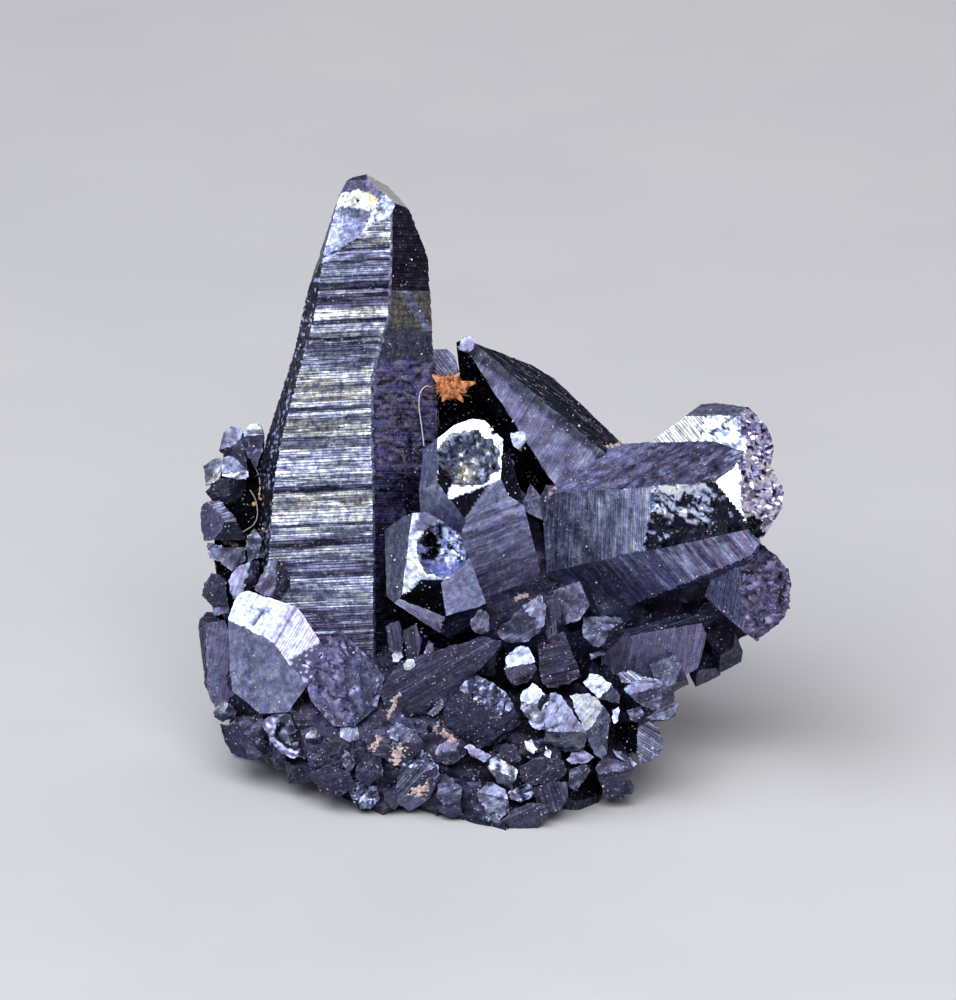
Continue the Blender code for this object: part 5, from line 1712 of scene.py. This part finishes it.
BALL = 9.5  # radius of the felted ball, in layout units
FIBRES = 420
LONG_FIBRES = 6  # that stand well off the ball
FIBRE_JOINTS = 6
THIRD_TURN = 2.094  # radians, between the edges of a three-sided fibre
tuft = bmesh.new()
bmesh.ops.create_icosphere(tuft, subdivisions=5, radius=1)
arms = (
    # the way each one points, right and up, and how far it stands off the ball
    (-0.76, 0.64, 11), (0.55, 0.83, 7), (0.98, 0.18, 15), (0.67, -0.74, 11), (-0.35, -0.93, 7),
    (0.95, -0.3, 6),
)
for vert in tuft.verts:
    outward = vert.co.copy()
    reach = BALL
    for right, up, extra in arms:
        near = max(0.0, outward.dot(Vector((right, 0, up)).normalized()))
        reach += extra * (0.35 * near ** 12 + 0.65 * near ** 90)
    reach += 2.4 * noise.noise(outward * 2) + 1.6 * noise.noise(outward * 5) + 0.8 * noise.noise(outward * 14)
    vert.co = Vector((outward.x * reach * 1.1, outward.y * 6, outward.z * reach))
rng = random.Random(5)
for k in range(FIBRES):
    outward = Vector((rng.gauss(0, 1), rng.gauss(-0.3, 0.5), rng.gauss(0, 1))).normalized()
    spot = Vector((outward.x * 9, outward.y * 5, outward.z * 8))
    way = (outward + Vector([rng.gauss(0, 0.7) for axis in range(3)])).normalized()
    length = rng.choice((3, 4, 5, 6, 9)) if k >= LONG_FIBRES else 17
    ring = None
    for step in range(FIBRE_JOINTS):
        thick = 0.45 * (1 - step / 6.5)
        side = way.orthogonal().normalized()
        edges = [Matrix.Rotation(THIRD_TURN * n, 3, way) @ side * thick for n in range(3)]
        made = [tuft.verts.new(spot + edge) for edge in edges]
        for n in range(3):
            if ring:
                tuft.faces.new((ring[n], ring[n - 2], made[n - 2], made[n]))
        ring = made
        spot = spot + way * length / (FIBRE_JOINTS - 1)
        way = (way + Vector([rng.gauss(0, 0.3) for axis in range(3)])).normalized()
    tuft.faces.new(ring)
bmesh.ops.recalc_face_normals(tuft, faces=tuft.faces)
bmesh.ops.translate(tuft, verts=tuft.verts, vec=(449 - FOOT[0], 124, FOOT[1] - 387))
lean_back(tuft)
to_metres(tuft)
tuft_piece = made_of(tuft, "rust_tuft_lint", lint("rusty_lint", (0.85, 0.36, 0.15), (0.3, 0.08, 0.03)))
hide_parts("rust_tuft")
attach(tuft_piece, "root")


# The druse: tiny hematite crystals, a few tenths of a millimetre across, that crowd the foot between the
# larger ones. Each grows out of the core at an angle of its own. A few are bright, and most are dull.
def scatter_tree(name, shape, facing, reach):
    """Nodes that stand copies of a shape on the faces of a mesh that look a certain way."""
    tree = bpy.data.node_groups.new(name, "GeometryNodeTree")
    for label, kind in (("Geometry", "Geometry"), ("Density", "Float"), ("Seed", "Int"),
                        ("Smallest", "Vector"), ("Largest", "Vector"), ("Finish", "Material")):
        tree.interface.new_socket(label, in_out="INPUT", socket_type="NodeSocket" + kind)
    tree.interface.new_socket("Geometry", in_out="OUTPUT", socket_type="NodeSocketGeometry")
    start = Wire(tree)
    given = {socket.name: Wire(tree, socket) for socket in tree.nodes.new("NodeGroupInput").outputs}
    normal = start.node("GeometryNodeInputNormal", {}, {})
    look = normal.node("ShaderNodeVectorMath", {"operation": "DOT_PRODUCT"}, {0: normal, 1: facing},
                       "Value")
    chosen = look.node("FunctionNodeCompare", {"operation": "GREATER_THAN"}, {0: look, 1: reach})
    spot = start.node("GeometryNodeInputPosition", {}, {})
    crowd = spot.noise(220, 2, 0.6).step(0.35, 0.62)
    settings = {"distribute_method": "RANDOM"}
    sockets = {"Mesh": given["Geometry"], "Selection": chosen,
               "Density": given["Density"] * (0.15 + crowd * 1.2), "Seed": given["Seed"]}
    points = start.node("GeometryNodeDistributePointsOnFaces", settings, sockets)
    stand = Wire(tree, points.socket.node.outputs["Rotation"])
    spin = start.node("FunctionNodeRandomValue", {"data_type": "FLOAT_VECTOR"},
                      {0: (-0.9, -0.9, -3.1), 1: (0.9, 0.9, 3.1), "Seed": 1})
    turned = stand.node("FunctionNodeRotateRotation", {"rotation_space": "LOCAL"}, {0: stand, 1: spin})
    size = start.node("FunctionNodeRandomValue", {"data_type": "FLOAT_VECTOR"},
                      {0: given["Smallest"], 1: given["Largest"], "Seed": 2})
    draws = [start.node("FunctionNodeRandomValue", {"data_type": "FLOAT"}, {2: 0.0, 3: 1.0, "Seed": 3 + k}, 1)
             for k in range(4)]
    grown = size.node("ShaderNodeVectorMath", {"operation": "SCALE"},
                      {0: size, "Scale": 0.45 + draws[3].maths("POWER", draws[3], 5) * 0.9})
    copies = start.node("GeometryNodeInstanceOnPoints", {}, {"Points": points, "Instance": shape(start),
                                                             "Rotation": turned, "Scale": grown})
    bright = draws[0].maths("POWER", draws[0], 3) * 0.8 + 0.15
    look = start.node("FunctionNodeCombineColor", {},
                      {0: bright, 1: 0.3 + draws[1] * 0.2, 2: draws[1] * 0.5, 3: draws[2] * 0.35})
    copies = copies.node("GeometryNodeStoreNamedAttribute",
                         {"data_type": "FLOAT_COLOR", "domain": "INSTANCE"},
                         {"Geometry": copies, "Name": "lustre", "Value": look})
    solid = copies.node("GeometryNodeRealizeInstances", {}, {0: copies})
    finished = solid.node("GeometryNodeSetMaterial", {}, {"Geometry": solid, "Material": given["Finish"]})
    out = tree.nodes.new("NodeGroupOutput")
    tree.links.new(finished.socket, out.inputs[0])
    return tree


def scattered_piece(name, host, tree, **values):
    """The copies that a scatter tree stands on a mesh, as a plain mesh."""
    piece = bpy.data.objects.new(name, host)
    bpy.context.scene.collection.objects.link(piece)
    modifier = piece.modifiers.new("scatter", "NODES")
    modifier.node_group = tree
    for socket in tree.interface.items_tree:
        if socket.in_out == "INPUT" and socket.name in values:
            modifier[socket.identifier] = values[socket.name]
    made = bpy.data.meshes.new_from_object(piece.evaluated_get(bpy.context.evaluated_depsgraph_get()))
    piece.modifiers.remove(modifier)
    piece.data = made
    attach(piece, "root")
    return piece


def hosts(names):
    """One mesh of the pieces of these names, to stand copies on."""
    together = bmesh.new()
    for piece in pieces:
        if piece.name in names:
            together.from_mesh(piece.data)
    mesh = bpy.data.meshes.new("host")
    together.to_mesh(mesh)
    together.free()
    return mesh


def stubby(start):
    """A six-sided pyramid with its point cut off, one unit wide and high."""
    sockets = {"Vertices": 6, "Radius Top": 0.32, "Radius Bottom": 0.5, "Depth": 0.9}
    return start.node("GeometryNodeMeshCone", {}, sockets)


def boxy(start):
    return start.node("GeometryNodeMeshCube", {}, {"Size": (0.8, 0.7, 0.75)})


ANY_WAY = ((0, 0, 1), -2)  # every face is turned this far towards any direction
druse = scattered_piece(
    "druse", hosts(("core",)), scatter_tree("druse", stubby, *ANY_WAY), Density=1.4e6, Seed=5,
    Smallest=(0.0001, 0.0001, 0.0001), Largest=(0.0005, 0.0005, 0.0005), Finish=small_metal,
)
crumbs = scattered_piece(
    "crumbs", hosts(("core",)), scatter_tree("crumbs", boxy, *ANY_WAY), Density=1.6e6, Seed=8,
    Smallest=(0.0001, 0.0001, 0.0001), Largest=(0.0005, 0.0004, 0.0004), Finish=small_metal,
)


# The dust: pale mineral grains, mostly under a tenth of a millimetre across, loose on the crystals.
# They lie on every face that is turned up or to the front, and thinly on the spire's right side.
def grain(start):
    return start.node("GeometryNodeMeshIcoSphere", {}, {"Radius": 0.5, "Subdivisions": 1})


dust_finish, dust_shader, wires = shader_of("pale_dust")
tone = wires.node("ShaderNodeAttribute", {"attribute_name": "lustre"}, {}, "Alpha")
pale = tone.node("ShaderNodeValToRGB", {"stops": [(0.27, (0.93, 0.94, 1.0)), (0.34, (0.92, 0.8, 0.55))]},
                 {0: tone})
plug(dust_shader, Base_Color=pale)
dust_shader.inputs["Roughness"].default_value = 0.7
all_but_spire = [piece.name for piece in pieces if piece.name != "spire"]
dust_hosts = (
    # name, what it lies on, the way that its faces look, and how far they have to be turned that way
    ("dust_grains", all_but_spire, (0.05, -0.6, 0.8), 0.1),
    ("spire_dust", ["spire"], (0.75, -0.6, 0.2), 0.75),
)
for name, names, facing, reach in dust_hosts:
    dust = scattered_piece(
        name, hosts(names), scatter_tree(name, grain, facing, reach), Density=9e5, Seed=3,
        Smallest=(0.00005, 0.00005, 0.00005), Largest=(0.00016, 0.00014, 0.00012), Finish=dust_finish,
    )


# The threads: three fibres of pale lint that lie over the crystals, with orange beads of rust.
# One hangs from the tuft and two in the hollow of the left-hand column, held by their own bends.
surface = bmesh.new()
for piece in pieces:
    surface.from_mesh(piece.data)
surface_tree = BVHTree.FromBMesh(surface)
surface.free()
INTO_DEPTH = TIPPED @ Vector((0, 1, 0))
IN_FRONT = -300  # a depth in front of everything
ON_AIR = 150  # the depth of a spot that has no crystal behind it


def on_surface(x, y, above):
    """The first point behind (x, y), lifted towards the front, in metres."""
    hit = surface_tree.ray_cast(settled(x, IN_FRONT, y), INTO_DEPTH)[0]
    return (hit or settled(x, ON_AIR, y)) - INTO_DEPTH * above * LAYOUT


def thread(name, spots, radius, material):
    guide = bpy.data.curves.new(name, "CURVE")
    guide.dimensions = "3D"
    guide.bevel_depth = radius * LAYOUT
    guide.bevel_resolution = 1
    guide.resolution_u = 6
    line = guide.splines.new("NURBS")
    line.points.add(len(spots) - 1)
    line.order_u = 3
    line.use_endpoint_u = True
    for point, spot in zip(line.points, spots):
        point.co = (*spot, 1)
    shape = bpy.data.objects.new(name + "_guide", guide)
    bpy.context.scene.collection.objects.link(shape)
    mesh = bpy.data.meshes.new_from_object(shape.evaluated_get(bpy.context.evaluated_depsgraph_get()))
    bpy.data.objects.remove(shape)
    mesh.materials.clear()
    mesh.materials.append(material)
    piece = bpy.data.objects.new(name, mesh)
    bpy.context.scene.collection.objects.link(piece)
    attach(piece, "root")


white_lint = lint("white_lint", (0.85, 0.83, 0.82), (0.6, 0.58, 0.6))
grey_lint = lint("grey_lint", (0.6, 0.58, 0.6), (0.35, 0.33, 0.36))
THREADS = (
    # name, radius, finish, then where it runs
    ("spire_thread", 0.6, white_lint, (438, 387), (430, 386), (425, 386), (421, 391), (419, 397),
     (419, 410), (421, 420), (424, 446)),
    ("column_thread", 0.5, grey_lint, (249, 455), (252, 463), (257, 471), (260, 479), (260, 490),
     (259, 499)),
    ("hollow_thread", 0.5, grey_lint, (250, 490), (255, 497), (257, 505), (258, 515), (255, 524),
     (248, 529), (243, 532)),
)
CLEARANCE = 2.5  # how far a thread stands off what it lies on
for name, radius, finish, *path in THREADS:
    thread(name, [on_surface(x, y, CLEARANCE) for x, y in path], radius, finish)

beads = bmesh.new()
BEADS = (
    # where each bead hangs on a thread or a crystal, and its radius
    (254, 504, 2.4), (261, 499, 1.5), (263, 529, 1.6), (260, 484, 1.0), (260, 489, 1.1), (259, 494, 1.0),
)
for x, y, radius in BEADS:
    place = Matrix.Translation(on_surface(x, y, radius)) @ Matrix.Scale(radius * LAYOUT, 4)
    bmesh.ops.create_icosphere(beads, subdivisions=2, radius=1, matrix=place)
bead_piece = made_of(beads, "rust_beads", lint("bead_rust", (0.85, 0.45, 0.2), (0.6, 0.3, 0.12)))
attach(bead_piece, "root")


# The stains: crumbs of pinkish iron clay, a tenth or two of a millimetre across.
# They are lodged in the gaps of the foot, each half sunk in the surface that it sticks to.
STAINS = (
    # from, to, then how wide and how many
    (373, 748, 380, 736, 2.5, 40), (393, 762, 402, 745, 4, 70), (413, 790, 427, 786, 3, 60),
    (435, 728, 440, 721, 1.5, 16), (441, 730, 455, 739, 2.5, 60), (388, 716, 400, 692, 1.2, 40),
    (514, 599, 528, 595, 1.5, 36), (220, 540, 238, 545, 1.5, 24), (558, 486, 545, 500, 1.5, 14),
    (606, 447, 620, 444, 1.5, 18),
)
clay = bmesh.new()
rng = random.Random(17)
for left, high, right, low, wide, count in STAINS:
    for k in range(count):
        share = rng.random()
        x = left + share * (right - left) + rng.gauss(0, 0.8 * wide)
        y = high + share * (low - high) + rng.gauss(0, 0.8 * wide)
        place = Matrix.Translation(on_surface(x, y, 0.2)) @ Matrix.Scale(rng.uniform(0.7, 2.0) * LAYOUT, 4)
        stretch = (rng.uniform(0.8, 1.6), rng.uniform(0.5, 1), rng.uniform(0.8, 1.2), 1)
        place = place @ Matrix.Diagonal(stretch)
        bmesh.ops.create_icosphere(clay, subdivisions=1, radius=1, matrix=place)
clay_piece = made_of(clay, "clay_stains", lint("iron_clay", (0.74, 0.58, 0.54), (0.42, 0.3, 0.3)))
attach(clay_piece, "root")
